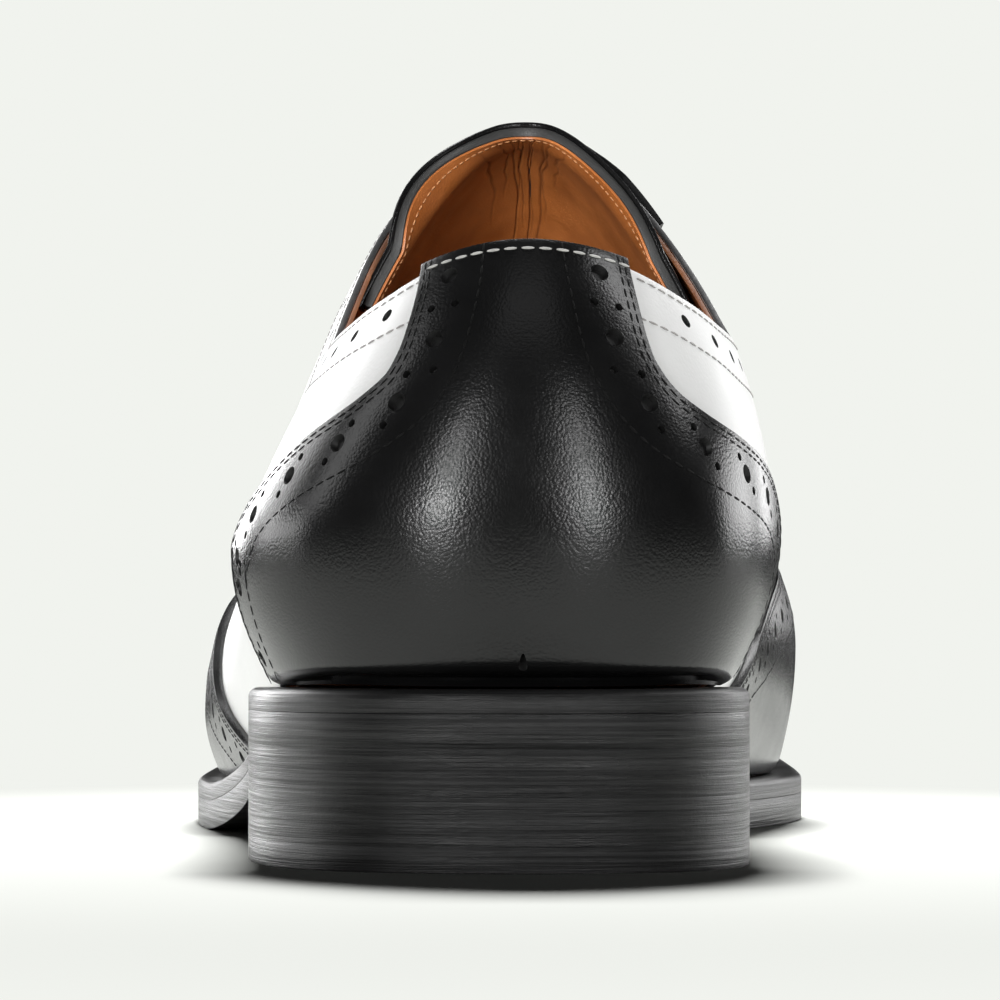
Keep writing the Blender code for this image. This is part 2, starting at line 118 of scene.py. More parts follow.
CREST_ROUND = 0.10
LINING_ACROSS, LINING_ALONG = 0.985, 0.992  # how much of the tongue the lining covers
FELT_ACROSS, FELT_ALONG = 0.99, 0.996
LINING_CROWDING = 1.8  # crowds the lining's rows towards its top
TONGUE_STEP = 4e-3

# Throat and laces
THROAT_Y = 161 * MM
THROAT_HALF_GAP = 5.5 * MM
THROAT_ROUND = 6 * MM
EYELET_FROM_RIDGE = 11.5 * MM
EYELET_RADIUS = 1.75 * MM
EYELET_RIM = 0.5 * MM
EYELET_FLATTENED = 0.6
LACE_ROWS = (127 * MM, 134 * MM, 141 * MM, 148 * MM, 155 * MM)
LACE_RADIUS = 1.2 * MM
LACE_OVER = OVERLAY_FACE + LACE_RADIUS
# Half of a lace's bar. Columns: share of the way from the ridge to the eyelet, height over the upper.
LACE_HALF = (
    (1.0, -1.2 * MM), (0.985, LACE_OVER * 0.55), (0.88, LACE_OVER + 0.15 * MM),
    (0.6, LACE_OVER), (0.3, LACE_OVER),
)

# Brogue work. FREE is the length left free at a row's start and at its end.
BAND = 9.5 * MM  # from an overlay's edge to its inner row of stitches
BAND_MIDDLE = BAND / 2 + 0.2 * MM
LARGE_HOLE = 1.12 * MM
LARGE_FREE = (4.2 * MM, 2.5 * MM)
SMALL_HOLE = 0.5 * MM
SMALL_FREE = (9.2 * MM, 2.0 * MM)
HOLE_PITCH = 10.0 * MM
PAIR_HALF = 1.7 * MM
QUARTER_HOLE = 0.85 * MM
QUARTER_PITCH = 9.0 * MM
QUARTER_ROW = 4.7 * MM
QUARTER_FREE = (1.5 * MM, 0.0)
QUARTER_HOLES_FROM = 0.25  # sections past the counter
PUNCH_DEPTH = 0.9 * MM
PUNCH_MOUTH, PUNCH_LIP, PUNCH_TAPER = 1.32, 0.4, 0.86
NICK_HEIGHT = 6.0 * MM
NICK_RADIUS = 1.3 * MM
NICK_DROP = 0.4 * MM
NICK_PLACE = 0.04

# Stitches: length, width and height of one, the pitch, the rows' distances from an edge
DARK_STITCH = (1.5 * MM, 0.36 * MM, 0.14 * MM)
DARK_PITCH = 1.9 * MM
EDGE_ROWS = (0.8 * MM, 1.7 * MM, BAND)
EDGE_FREE = (0.8 * MM, 0.8 * MM)
FACING_ROWS = (1.0 * MM, 2.1 * MM)
FACING_FREE = (2 * MM, 2 * MM)
TOP_STITCH = (1.8 * MM, 0.4 * MM, 0.4 * MM)
TOP_PITCH = 2.15 * MM
TOP_ROW = 1.65 * MM
TOP_FREE = (0.9 * MM, 0.9 * MM)
GREY_STITCH = (1.6 * MM, 0.36 * MM, 0.26 * MM)
GREY_PITCH = 2.0 * MM
GREY_ROWS = (1.4 * MM, 8.6 * MM)
GREY_FREE = (0.5 * MM, 0.5 * MM)
GREY_FROM, GREY_PAST = 0.04, 0.1  # sections past the counter, past the start of the facing
LINING_STITCH = (0.95 * MM, 0.3 * MM, 0.3 * MM)
LINING_PITCH = 1.25 * MM
LINING_ROW = 1.1 * MM
LINING_FREE = 1 * MM
SUNK_PROUD = 0.02 * MM  # how far the middle of a stitch stands over the leather
TOP_PROUD = 0.06 * MM

# The last, a row for each section from the heel back to the toe tip, outer side and inner side.
# Columns: feather edge x, y; bulge outward, bulge height; fullness above the bulge, fullness at the ridge;
# sole margin. Sizes in millimetres.
OUTER_SIDE = (
    (3.0, 5.0, 2.4, 21.0, 0.58, 0.46, 5.0),
    (-18.6, 12.0, 3.6, 20.0, 0.34, 0.34, 4.7),
    (-29.0, 33.0, 5.8, 19.0, 0.13, 0.26, 4.4),
    (-31.3, 62.0, 6.0, 19.0, 0.05, 0.38, 4.4),
    (-32.5, 92.0, 5.8, 20.0, 0.06, 0.54, 4.0),
    (-36.0, 122.0, 4.8, 18.0, 0.28, 0.38, 4.2),
    (-41.6, 153.0, 3.3, 13.0, 0.42, 0.42, 5.0),
    (-45.2, 187.0, 2.7, 10.5, 0.50, 0.50, 5.4),
    (-43.8, 219.0, 2.4, 10.0, 0.54, 0.54, 6.0),
    (-36.0, 252.0, 2.2, 10.0, 0.58, 0.58, 6.4),
    (-20.5, 282.0, 2.0, 10.0, 0.60, 0.60, 6.9),
    (4.5, 294.0, 2.0, 10.0, 0.62, 0.60, 7.0),
)
INNER_SIDE = (
    (3.0, 5.0, 2.4, 21.0, 0.58, 0.46, 5.0),
    (23.6, 12.5, 3.6, 20.0, 0.46, 0.40, 4.7),
    (30.0, 34.0, 6.2, 21.0, 0.44, 0.38, 4.2),
    (29.5, 62.0, 9.4, 24.0, 0.42, 0.38, 4.0),
    (25.5, 92.0, 13.2, 27.0, 0.46, 0.36, 3.2),
    (27.2, 124.0, 11.0, 25.0, 0.46, 0.46, 3.8),
    (35.8, 158.0, 6.3, 22.0, 0.46, 0.46, 5.0),
    (44.7, 193.0, 3.6, 22.0, 0.52, 0.52, 5.5),
    (45.2, 222.0, 2.7, 17.0, 0.55, 0.55, 6.0),
    (39.6, 254.0, 2.2, 11.0, 0.58, 0.58, 6.4),
    (26.8, 281.5, 2.0, 10.0, 0.60, 0.60, 6.9),
    (4.5, 294.0, 2.0, 10.0, 0.62, 0.60, 7.0),
)
# The ridge that the two sides meet on, a point for each section. Columns: x, y, z; fall per unit of y.
RIDGE = (
    (3.6, 54.0, 105.0, 0.0),
    (3.6, 59.0, 105.5, 0.0),
    (3.8, 72.0, 108.0, 0.0),
    (4.2, 93.0, 110.5, -0.05),
    (4.2, 115.0, 108.5, -0.32),
    (4.0, 138.0, 97.5, -0.56),
    (3.6, 162.0, 83.0, -0.60),
    (2.8, 188.0, 68.5, -0.47),
    (2.2, 213.0, 58.0, -0.36),
    (2.6, 236.0, 50.5, -0.29),
    (3.4, 252.0, 46.2, -0.26),
    (4.0, 260.0, 44.2, -0.25),
)
# Top edge of the upper in side view. Columns: y, z in millimetres.
TOPLINE = (
    (6, 87.6), (12, 85.0), (18, 81.6), (28, 76.8), (42, 73.9), (58, 73.2),
    (72, 75.6), (88, 85.0), (100, 94.5), (108, 101.5), (116, 108.0),
)
# Edges of the overlays over the last. Columns: share of the way up a section, section on the outer side,
# section on the inner side.
COUNTER_EDGE = (
    (0.00, 2.25, 2.50), (0.10, 2.20, 2.50), (0.20, 2.15, 2.40), (0.26, 2.08, 2.12), (0.30, 1.97, 1.75),
    (0.325, 1.82, 1.42), (0.35, 1.63, 1.09), (0.37, 1.38, 0.90), (0.39, 0.98, 0.81), (0.41, 0.79, 0.76),
    (0.45, 0.72, 0.73), (0.50, 0.70, 0.72), (0.60, 0.76, 0.75),
)
WING_EDGE = (
    (0.00, 4.90, 4.60), (0.05, 5.15, 4.85), (0.12, 5.45, 5.20), (0.19, 5.75, 5.60), (0.27, 6.20, 6.18),
    (0.36, 6.75, 6.90), (0.50, 7.60, 7.60), (0.65, 8.20, 8.20), (0.78, 8.55, 8.55), (0.88, 8.40, 8.40),
    (0.95, 7.95, 7.95), (1.00, 7.50, 7.50),
)
# Half width of a facing and of the tongue from the ridge. Columns: section, width in millimetres.
FACING_WIDTH = (
    (3.0, 0), (3.2, 22.5), (4.0, 19.4), (5.0, 18.4), (5.4, 17.7), (5.7, 16.4), (5.85, 14.8), (5.95, 12),
)
TONGUE_WIDTH = ((3.3, 21.5), (3.75, 23.0), (4.5, 22.5), (5.5, 20.0), (6.3, 18.0), (6.6, 15.0))
# Creases in the tongue's lining. Columns: share across, depth and length in millimetres, sway.
TONGUE_CREASES = (
    (-0.36, 0.22, 30.0, 0.020), (-0.24, 0.26, 24.0, 0.035), (-0.16, 0.30, 44.0, 0.030),
    (-0.09, 0.22, 26.0, 0.022), (-0.03, 0.20, 34.0, -0.020), (0.03, 0.32, 52.0, 0.014),
    (0.09, 0.24, 36.0, -0.022), (0.15, 0.30, 46.0, 0.022), (0.23, 0.24, 32.0, -0.020),
    (0.32, 0.18, 22.0, -0.026),
)
# Waves along a crease. Columns: share across, rate along the crease, shift by the crease's place.
CREASE_WAVES = ((0.012, 13, 40), (0.006, 29, 90))
CREASE_SWAY, SWAY_RATE = 1.6, 3.5
CREASE_WIDTH = 0.010
CREASE_START = 1.2 * MM  # below the tongue's top
# depth at which a crease's painted shade is full
DEEP_CREASE = 0.55 * MM

SECTIONS = len(RIDGE) - 1
LOOP = 2 * SECTIONS
BULGE = 0.2
FOOT_OUT, FOOT_UP, FOOT_BACK = 0.35, 0.25, 0.45
CORNER_GUESS = 0.55
EDGE_FOOT, EDGE_TOP, EDGE_OVERRUN = 0.012, 0.998, 0.04  # shares of the way up a section
FACING_LEAST = 0.004  # share of a section that a facing covers at least
FACING_STARTS = (0.3, 0.12)  # sections from the topline to the outer facing, to the inner one
SAMPLES = 500
OUTLINE_POINTS = 72
SEEK_STEPS = 30
LOWEST_CLIMB = 0.4
INSET_STEPS = 12
INSET_LOWEST, INSET_HIGHEST, INSET_KEPT = 0.004, 0.999, 0.95
NORMAL_STEP = 1e-3
MERGE = 1e-6
AXIS_HEIGHT = 35 * MM  # of the line along the middle of the shoe
BEVEL_ANGLE = math.radians(40)
SMOOTH_ANGLE = math.radians(42)
RIGHT_ANGLE = math.radians(90)
BODY = "root"


# The last's own surface
def periodic_spline(rows):
    """Smooth closed curve through rows one unit apart; at(q) gives values, at(q, True) their slope."""
    values = np.asarray(rows, float)
    count = len(values)
    ring = 4 * np.eye(count) + np.roll(np.eye(count), 1, 0) + np.roll(np.eye(count), -1, 0)
    second = np.linalg.solve(ring, 6 * (np.roll(values, -1, 0) - 2 * values + np.roll(values, 1, 0)))

    def at(q, slope=False):
        q = np.asarray(q, float) % count
        i = np.floor(q).astype(int) % count
        j = (i + 1) % count
        b = (q - np.floor(q))[..., None]
        a = 1 - b
        if slope:
            return values[j] - values[i] + (1 - 3 * a * a) * second[i] / 6 + (3 * b * b - 1) * second[j] / 6
        return values[i] * a + values[j] * b + (a**3 - a) * second[i] / 6 + (b**3 - b) * second[j] / 6

    return at


def smooth_curve(table, column=1):
    """Curve through a table without overshoot between its rows, the first column being the place."""
    rows = np.asarray(table, float)
    place, value = rows[:, 0], rows[:, column]
    run = np.diff(place)
    rise = np.diff(value) / run
    slope = np.empty(len(place))
    slope[0], slope[-1] = rise[0], rise[-1]
    same_way = rise[1:] * rise[:-1] > 0
    total = np.where(same_way, rise[1:] + rise[:-1], 1)
    slope[1:-1] = np.where(same_way, 2 * rise[1:] * rise[:-1] / total, 0)

    def at(where):
        where = np.clip(where, place[0], place[-1])
        i = np.clip(np.searchsorted(place, where) - 1, 0, len(run) - 1)
        t = (where - place[i]) / run[i]
        start = value[i] * (1 + 2 * t) * (1 - t) ** 2 + slope[i] * run[i] * t * (1 - t) ** 2
        return start + value[i + 1] * t * t * (3 - 2 * t) + slope[i + 1] * run[i] * t * t * (t - 1)

    return at


def around(outer, inner):
    """Rows in one loop: heel back, outer side, toe tip, inner side."""
    return list(outer) + list(inner)[-2:0:-1]


LAST = np.array(around(OUTER_SIDE, INNER_SIDE))
feather = periodic_spline(LAST[:, :2] * MM)
bulge = periodic_spline(LAST[:, 2:4] * MM)
fullness = periodic_spline(LAST[:, 4:6])
margin = periodic_spline(LAST[:, 6:] * MM)
ridge_curve = periodic_spline(np.array(around(RIDGE, RIDGE)) * (MM, MM, MM, 1))
topline_height = smooth_curve(np.array(TOPLINE) * MM)
counter_edge = [smooth_curve(COUNTER_EDGE, column) for column in (1, 2)]
wing_edge = [smooth_curve(WING_EDGE, column) for column in (1, 2)]
facing_width = smooth_curve(np.array(FACING_WIDTH) * (1, MM))
tongue_width = smooth_curve(np.array(TONGUE_WIDTH) * (1, MM))


def smooth_step(t):
    t = np.clip(t, 0, 1)
    return t * t * (3 - 2 * t)


def tread(y):
    """Height of the outsole's underside: raised heel seat, arch, flat ball and toe spring."""
    arch = HEEL_RISE * smooth_step((BALL_REAR_Y - y) / (BALL_REAR_Y - SEAT_FRONT_Y))
    return arch + TOE_SPRING * np.clip((y - BALL_FRONT_Y) / (TOE_Y - BALL_FRONT_Y), 0, None) ** 2


def unit(vectors):
    return vectors / np.linalg.norm(vectors, axis=-1, keepdims=True)


def outward(q):
    """Unit normal of the feather edge in plan."""
    along = feather(q, slope=True)
    return unit(np.stack([-along[..., 1], along[..., 0]], -1))


def section_number(q):
    q = np.asarray(q, float) % LOOP
    return np.where(q > SECTIONS, LOOP - q, q)


def on_side(section, inner):
    """Place round the loop of a section, on the inner or the outer side."""
    return np.where(inner, LOOP - section, section)


def bezier(a, b, c, d, t):
    t = t[..., None]
    s = 1 - t
    return a * s**3 + 3 * b * s * s * t + 3 * c * s * t * t + d * t**3


def last_point(q, v):
    """Outer face of the upper: q runs around the loop, v from the feather edge to the ridge."""
    q, v = np.broadcast_arrays(np.asarray(q, float), np.asarray(v, float))
    foot = feather(q)
    height = tread(foot[..., 1]) + OUTSOLE + WELT + 2 * GAP
    foot = np.concatenate([foot, height[..., None]], -1)
    out = np.concatenate([outward(q), np.zeros(q.shape + (1,))], -1)
    up = np.array((0.0, 0.0, 1.0))
    swell, rise = np.moveaxis(bulge(q), -1, 0)[..., None]
    full_side, full_top = np.moveaxis(fullness(q), -1, 0)[..., None]
    crest = ridge_curve(q)
    fall = crest[..., 3]
    crest = crest[..., :3]
    widest = foot + out * swell + up * rise
    inward = widest - crest
    inward[..., 2] = fall * inward[..., 1]
    climb = (crest - widest)[..., 2:]
    foot_handle = foot + out * swell * FOOT_OUT + up * rise * FOOT_UP
    low = bezier(foot, foot_handle, widest - up * rise * FOOT_BACK, widest, np.clip(v / BULGE, 0, 1))
    side_handle = widest + up * full_side * climb
    share_up = np.clip((v - BULGE) / (1 - BULGE), 0, 1)
    high = bezier(widest, side_handle, crest + inward * full_top, crest, share_up)
    return np.where((v <= BULGE)[..., None], low, high)


def last_slopes(q, v):
    """How a point of the last moves along q and along v."""
    v = np.clip(v, NORMAL_STEP, 1 - NORMAL_STEP)
    along = last_point(q + NORMAL_STEP, v) - last_point(q - NORMAL_STEP, v)
    upward = last_point(q, v + NORMAL_STEP) - last_point(q, v - NORMAL_STEP)
    return along / (2 * NORMAL_STEP), upward / (2 * NORMAL_STEP)


def last_normal(q, v):
    along, upward = last_slopes(q, v)
    return unit(np.cross(upward, along))


def offset_point(q, v, distance):
    return last_point(q, v) + last_normal(q, v) * np.asarray(distance, float)[..., None]


def sole_outline(q, inset=0.0):
    return feather(q) + outward(q) * (margin(q) - inset)


SOLE_LOOP = sole_outline(np.linspace(0, LOOP, OUTLINE_POINTS, endpoint=False))
BOX_MIDDLE = np.append((SOLE_LOOP.min(axis=0) + SOLE_LOOP.max(axis=0)) / 2, 0)


def from_ridge(q, v):
    return abs(last_point(q, v)[..., 0] - ridge_curve(q)[..., 0])


def climb_to(q, across):
    """Share of the way up a section where it is a given distance from the ridge."""
    low = np.full(np.shape(q), LOWEST_CLIMB)
    high = np.ones(np.shape(q))
    for _ in range(SEEK_STEPS):
        middle = (low + high) / 2
        outside = from_ridge(q, middle) > across
        low = np.where(outside, middle, low)
        high = np.where(outside, high, middle)
    return np.where(across <= 0, 1.0, low)


def upper_field(q, v):
    """Positive where the upper's leather is, below the topline and beside the throat."""
    point = last_point(q, v)
    below_topline = topline_height(point[..., 1]) - point[..., 2]
    opening = THROAT_HALF_GAP * np.sqrt(np.clip((THROAT_Y - point[..., 1]) / THROAT_ROUND, 0, 1))
    in_front = np.clip(point[..., 1] - THROAT_Y, 0, None)
    beside = abs(point[..., 0] - ridge_curve(q)[..., 0]) - opening + in_front
    return np.where(section_number(q) < TONGUE_TOP, below_topline, np.minimum(below_topline, beside))


def find_upper_top(q):
    """Share of the way up each section at which the upper's leather ends."""
    shares = np.linspace(0, 1, SAMPLES)
    field = upper_field(q[:, None] + 0 * shares, shares + 0 * q[:, None])
    out = field <= 0
    last = np.clip(out.argmax(axis=1), 1, SAMPLES - 1)
    row = np.arange(len(q))
    inside, outside = field[row, last - 1], field[row, last]
    share = inside / np.where(inside == outside, 1, inside - outside)
    found = shares[last - 1] + (shares[last] - shares[last - 1]) * np.clip(share, 0, 1)
    return np.where(out.any(axis=1), found, 1.0)


EVEN_COLUMNS = np.linspace(0, LOOP, 421)
THROAT_COLUMNS = np.linspace(5.6, 6.02, 22)  # closer together round the throat's end
ALL_COLUMNS = np.concatenate([EVEN_COLUMNS, THROAT_COLUMNS, LOOP - THROAT_COLUMNS])
UPPER_COLUMNS = np.unique(np.round(ALL_COLUMNS, 6))
UPPER_TOPS = find_upper_top(UPPER_COLUMNS)


def upper_top(q):
    return np.interp(np.asarray(q, float) % LOOP, UPPER_COLUMNS, UPPER_TOPS)


# Lines over the last, as pairs of arrays q, v
def inset(line, distance):
    """A line moved sideways over the surface, to the left seen from outside for a positive distance."""
    q, v = line
    edge = last_point(q, v)
    heading = np.cross(last_normal(q, v), np.gradient(edge, axis=0))
    for _ in range(INSET_STEPS):
        along, upward = last_slopes(q, v)
        normal = unit(np.cross(upward, along))
        heading = unit(heading - normal * (heading * normal).sum(-1, keepdims=True))
        side = heading * distance / INSET_STEPS
        aa = (along * along).sum(-1)
        au = (along * upward).sum(-1)
        uu = (upward * upward).sum(-1)
        a_side = (along * side).sum(-1)
        u_side = (upward * side).sum(-1)
        area = aa * uu - au * au
        q = q + (uu * a_side - au * u_side) / area
        v = v + (aa * u_side - au * a_side) / area
    gaps = np.linalg.norm(last_point(q, v)[:, None] - edge[None], axis=2).min(axis=1)
    kept = (v > INSET_LOWEST) & (v < INSET_HIGHEST) & (gaps > INSET_KEPT * abs(distance))
    return q[kept], v[kept]


def below_top(line):
    """The part of a line that lies under the upper's top edge."""
    q, v = line
    kept = v < upper_top(q)
    return q[kept], v[kept]


def run_along(points):
    """Length along a line up to each of its points."""
    steps = np.linalg.norm(np.diff(points, axis=0), axis=1)
    return np.concatenate([[0], np.cumsum(steps)])


def evenly(line, pitch, first=0.0, last=0.0):
    """Places a pitch apart along a line, with a length left free at its start and its end."""
    q, v = line
    run = run_along(last_point(q, v))
    stops = np.arange(first, run[-1] - last, pitch)
    return np.interp(stops, run, q), np.interp(stops, run, v)


def placed(points):
    return points - BOX_MIDDLE


def seats(line, height):
    """Points, directions along the line and normals, at a height over the last."""
    q, v = line
    points = offset_point(q, v, np.full(len(q), height))
    along = unit(np.gradient(points, axis=0))
    normal = last_normal(q, v)
    along = unit(along - normal * (along * normal).sum(-1, keepdims=True))
    return placed(points), along, normal


# Modelling steps
def select_only(piece):
    bpy.ops.object.select_all(action="DESELECT")
    piece.select_set(True)
    bpy.context.view_layer.objects.active = piece


def in_edit_mode(piece, *steps):
    """Runs edit-mode steps on the whole of one piece."""
    select_only(piece)
    bpy.ops.object.mode_set(mode="EDIT")
    bpy.ops.mesh.select_all(action="SELECT")
    for step in steps:
        step()
    bpy.ops.object.mode_set(mode="OBJECT")


def weld():
    bpy.ops.mesh.remove_doubles(threshold=MERGE)


def face_out():
    bpy.ops.mesh.normals_make_consistent(inside=False)


def add(primitive, **settings):
    """Adds a primitive with nothing else selected."""
    bpy.ops.object.select_all(action="DESELECT")
    primitive(**settings)
    return bpy.context.object


def triples(items, name):
    """A value with x, y and z of all points or faces of a mesh."""
    values = np.empty(3 * len(items))
    items.foreach_get(name, values)
    return values.reshape(-1, 3)


def modify(piece, kind, **settings):
    """Adds a modifier with its settings and applies it."""
    select_only(piece)
    modifier = piece.modifiers.new(kind.lower(), kind)
    for name, value in settings.items():
        setattr(modifier, name, value)
    bpy.ops.object.modifier_apply(modifier=modifier.name)


def thicken(piece, thickness, rim_material=0):
    modify(piece, "SOLIDIFY", thickness=thickness, offset=-1, material_offset_rim=rim_material)


def thicken_down(piece, thickness):
    """Gives a level sheet its thickness below it."""
    if triples(piece.data.polygons, "normal")[:, 2].sum() < 0:
        piece.data.flip_normals()
    thicken(piece, thickness)


def round_edges(piece, width, segments=2):
    modify(piece, "BEVEL", width=width, segments=segments, limit_method="ANGLE", angle_limit=BEVEL_ANGLE)


def cut_out(piece, cutter):
    """Cuts a shape out of a piece. The walls of the cut take the shape's material."""
    modify(piece, "BOOLEAN", object=cutter, operation="DIFFERENCE", solver="MANIFOLD",
           material_mode="TRANSFER")
    bpy.data.objects.remove(cutter, do_unlink=True)


# Columns and rows of the moulded sheets
GRIDS = {
    "upper_leather": (len(UPPER_COLUMNS) - 1, 66),
    "quarter_lining": (330, 44),
    "counter_leather": (168, 84),
    "wing_cap_leather": (280, 70),
    "outer_facing": (64, 22),
    "inner_facing": (64, 22),
    "tongue_leather": (90, 110),
    "tongue_felt": (90, 110),
    "tongue_lining": (300, 110),
    "outsole_plate": (420, 14),
    "insole_sock": (300, 14),
    "welt_strip": (420, 4 + WELT_CORNER_POINTS),
    "heel_block": (240, 12),
    "heel_lift": (240, 12),
}


def moulded(name, shape, materials, wear=None, crest=None):
    """A flat grid moulded to shape(s, t), s and t running from 0 to 1 along its two sides."""
    columns, rows = GRIDS[name]
    piece = add(bpy.ops.mesh.primitive_grid_add, x_subdivisions=columns, y_subdivisions=rows, size=1)
    piece.name = name
    piece.data.name = name
    s, t = np.clip(triples(piece.data.vertices, "co")[:, :2].T + 0.5, 0, 1)
    piece.data.vertices.foreach_set("co", placed(shape(s, t)).ravel())
    # Painted shade: a share per point that the material reads to darken or dull the piece where shade falls
    if wear is not None:
        worn = piece.data.attributes.new("worn", "FLOAT", "POINT")
        worn.data.foreach_set("value", wear(s, t))
    if crest is not None:
        group = piece.vertex_groups.new(name="crest")
        weights = crest(s, t)
        for index in np.flatnonzero(weights):
            group.add([int(index)], float(weights[index]), "REPLACE")
    piece.data.update()
    in_edit_mode(piece, weld)
    if crest is not None:
        modify(piece, "SMOOTH", factor=0.5, iterations=CREST_SMOOTHING, vertex_group="crest")
        piece.vertex_groups.clear()
    for material in materials:
        piece.data.materials.append(material)
    return piece


def turn_outwards(piece, away_from_axis=True):
    """Turns an open sheet's faces away from the middle of the shoe, or towards it."""
    from_axis = triples(piece.data.polygons, "center") * (1, 0, 1) - (0, 0, AXIS_HEIGHT)
    outwards = (from_axis * triples(piece.data.polygons, "normal")).sum() > 0
    if outwards != away_from_axis:
        piece.data.flip_normals()


def sheet(name, shape, materials, thickness, rounding, segments=2, rim_material=0, faces_in=False, **looks):
    """A moulded sheet with its thickness behind its face and its edges rounded."""
    piece = moulded(name, shape, materials, **looks)
    turn_outwards(piece, away_from_axis=not faces_in)
    thicken(piece, thickness, rim_material)
    round_edges(piece, rounding, segments)
    return piece


def finish(piece, slot, *nodes):
    """Shades a piece, fixes it to the body and hides the parts of the solids that it stands for."""
    select_only(piece)
    bpy.ops.object.shade_smooth_by_angle(angle=SMOOTH_ANGLE)
    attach(piece, BODY)
    if nodes:
        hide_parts(*nodes)


def copies(name, template, points, along, normal, material, sizes=None):
    """One mesh of many copies of a small shape, each standing on a surface with its x along a line."""
    mesh = template.data
    shape = triples(mesh.vertices, "co")
    across = np.cross(normal, along)
    sizes = np.ones((len(points), 3)) if sizes is None else sizes
    axes = np.stack([along, across, normal], 1) * sizes[:, :, None]
    verts = np.einsum("nk,mkc->mnc", shape, axes) + points[:, None, :]
    faces = [tuple(face.vertices) for face in mesh.polygons]
    all_faces = []
    for i in range(len(points)):
        start = i * len(shape)
        all_faces += [tuple(start + corner for corner in face) for face in faces]
    joined = bpy.data.meshes.new(name)
    joined.from_pydata(verts.reshape(-1, 3).tolist(), [], all_faces)
    piece = bpy.data.objects.new(name, joined)
    bpy.context.scene.collection.objects.link(piece)
    joined.materials.append(material)
    bpy.data.objects.remove(template, do_unlink=True)
    return piece


def resized(piece, scale):
    piece.scale = scale
    bpy.ops.object.transform_apply(location=False, rotation=False, scale=True)
    return piece


def stitch_shape(size):
    """One stitch: a round pad drawn out along x and pressed flat."""
    stitch = add(bpy.ops.mesh.primitive_uv_sphere_add, segments=8, ring_count=6, radius=0.5)
    stitch.rotation_euler = (0, RIGHT_ANGLE, 0)
    bpy.ops.object.transform_apply(location=False, rotation=True, scale=False)
    return resized(stitch, size)


def punch_shape():
    """One punch of unit radius: a drum with a flared mouth, so that a hole gets a soft lip."""
    punch = add(bpy.ops.mesh.primitive_cylinder_add, vertices=16, radius=1, depth=2,
                end_fill_type="TRIFAN")
    points = triples(punch.data.vertices, "co")
    mouth = points[:, 2] > 0
    points[mouth, :2] *= PUNCH_MOUTH
    points[mouth, 2] = PUNCH_LIP
    points[~mouth, 2] = -1
    points[~mouth, :2] *= PUNCH_TAPER
    punch.data.vertices.foreach_set("co", points.ravel())
    return punch


def sew(name, rows, height, stitch, material, slot):
    """Rows of stitches as one piece. A row is the places of its stitches along a line."""
    found = [seats(row, height) for row in rows if len(row[0]) > 1]
    points, along, normal = (np.concatenate(part) for part in zip(*found))
    finish(copies(name, stitch_shape(stitch), points, along, normal, material), slot)


def punch_holes(piece, holes, height):
    """Cuts blind holes into a piece. Holes are pairs of a line's places and a radius."""
    found = []
    for places, radius in holes:
        count = len(places[0])
        if count > 1:
            found.append((*seats(places, height), np.tile((radius, radius, PUNCH_DEPTH), (count, 1))))
    points, along, normal, sizes = (np.concatenate(part) for part in zip(*found))
    cutter = copies("punches", punch_shape(), points, along, normal, DARK, sizes)
    in_edit_mode(cutter, face_out)
    cut_out(piece, cutter)


# Materials
TONE_STOPS = (0.35, 0.65)
GRAIN_WANDER, GRAIN_DEPTH = 0.5, 0.3  # in cells
FINE_RATE, FINE_DEPTH = 1.6, 0.15  # of the finer grain over the cells, in cells
THREAD_ROUGHNESS, THREAD_SHADE = 0.6, 0.75


def new_material(name):
    material = bpy.data.materials.new(name)
    material.use_nodes = True
    return material


def shader_of(material):
    return material.node_tree.nodes["Principled BSDF"]


def add_node(material, kind, **values):
    """Adds a node and sets its inputs or its own settings by name."""
    node = material.node_tree.nodes.new(kind)
    for name, value in values.items():
        if name in node.inputs:
            node.inputs[name].default_value = value
        else:
            setattr(node, name, value)
    return node


def link(material, source, target):
    material.node_tree.links.new(source, target)


def object_place(material, scale=(1, 1, 1)):
    """Object coordinates, stretched by a scale."""
    coordinate = add_node(material, "ShaderNodeTexCoord")
    mapping = add_node(material, "ShaderNodeMapping", Scale=scale)
    link(material, coordinate.outputs["Object"], mapping.inputs["Vector"])
    return mapping.outputs["Vector"]


def noise(material, place, scale, detail, **values):
    node = add_node(material, "ShaderNodeTexNoise", Scale=scale, Detail=detail, **values)
    link(material, place, node.inputs["Vector"])
    return node.outputs


def spread(material, value, limits, results, target, **settings):
    """Maps a value from between two limits to between two results, and hands it to an input."""
    node = add_node(material, "ShaderNodeMapRange", **settings)
    for name, amount in zip(("From Min", "From Max", "To Min", "To Max"), (*limits, *results)):
        node.inputs[name].default_value = amount
    link(material, value, node.inputs["Value"])
    link(material, node.outputs["Result"], target)


def vary(material, place, scale, results, name, detail=3, softness=0.2):
    """Lets one of the shader's values wander between two results with a noise."""
    wander = noise(material, place, scale, detail)["Fac"]
    spread(material, wander, (0.5 - softness, 0.5 + softness), results, shader_of(material).inputs[name])


def two_tone(material, place, scale, tones, detail=4):
    """Base colour that wanders between two tones."""
    ramp = add_node(material, "ShaderNodeValToRGB")
    for element, position, tone in zip(ramp.color_ramp.elements, TONE_STOPS, tones):
        element.position = position
        element.color = (*tone, 1)
    link(material, noise(material, place, scale, detail)["Fac"], ramp.inputs["Fac"])
    link(material, ramp.outputs["Color"], shader_of(material).inputs["Base Color"])


def bump(material, height, strength, distance, below=None):
    """A bump from a height, laid over another one."""
    node = add_node(material, "ShaderNodeBump", Strength=strength, Distance=distance)
    link(material, height, node.inputs["Height"])
    if below is not None:
        link(material, below, node.inputs["Normal"])
    link(material, node.outputs["Normal"], shader_of(material).inputs["Normal"])
    return node.outputs["Normal"]


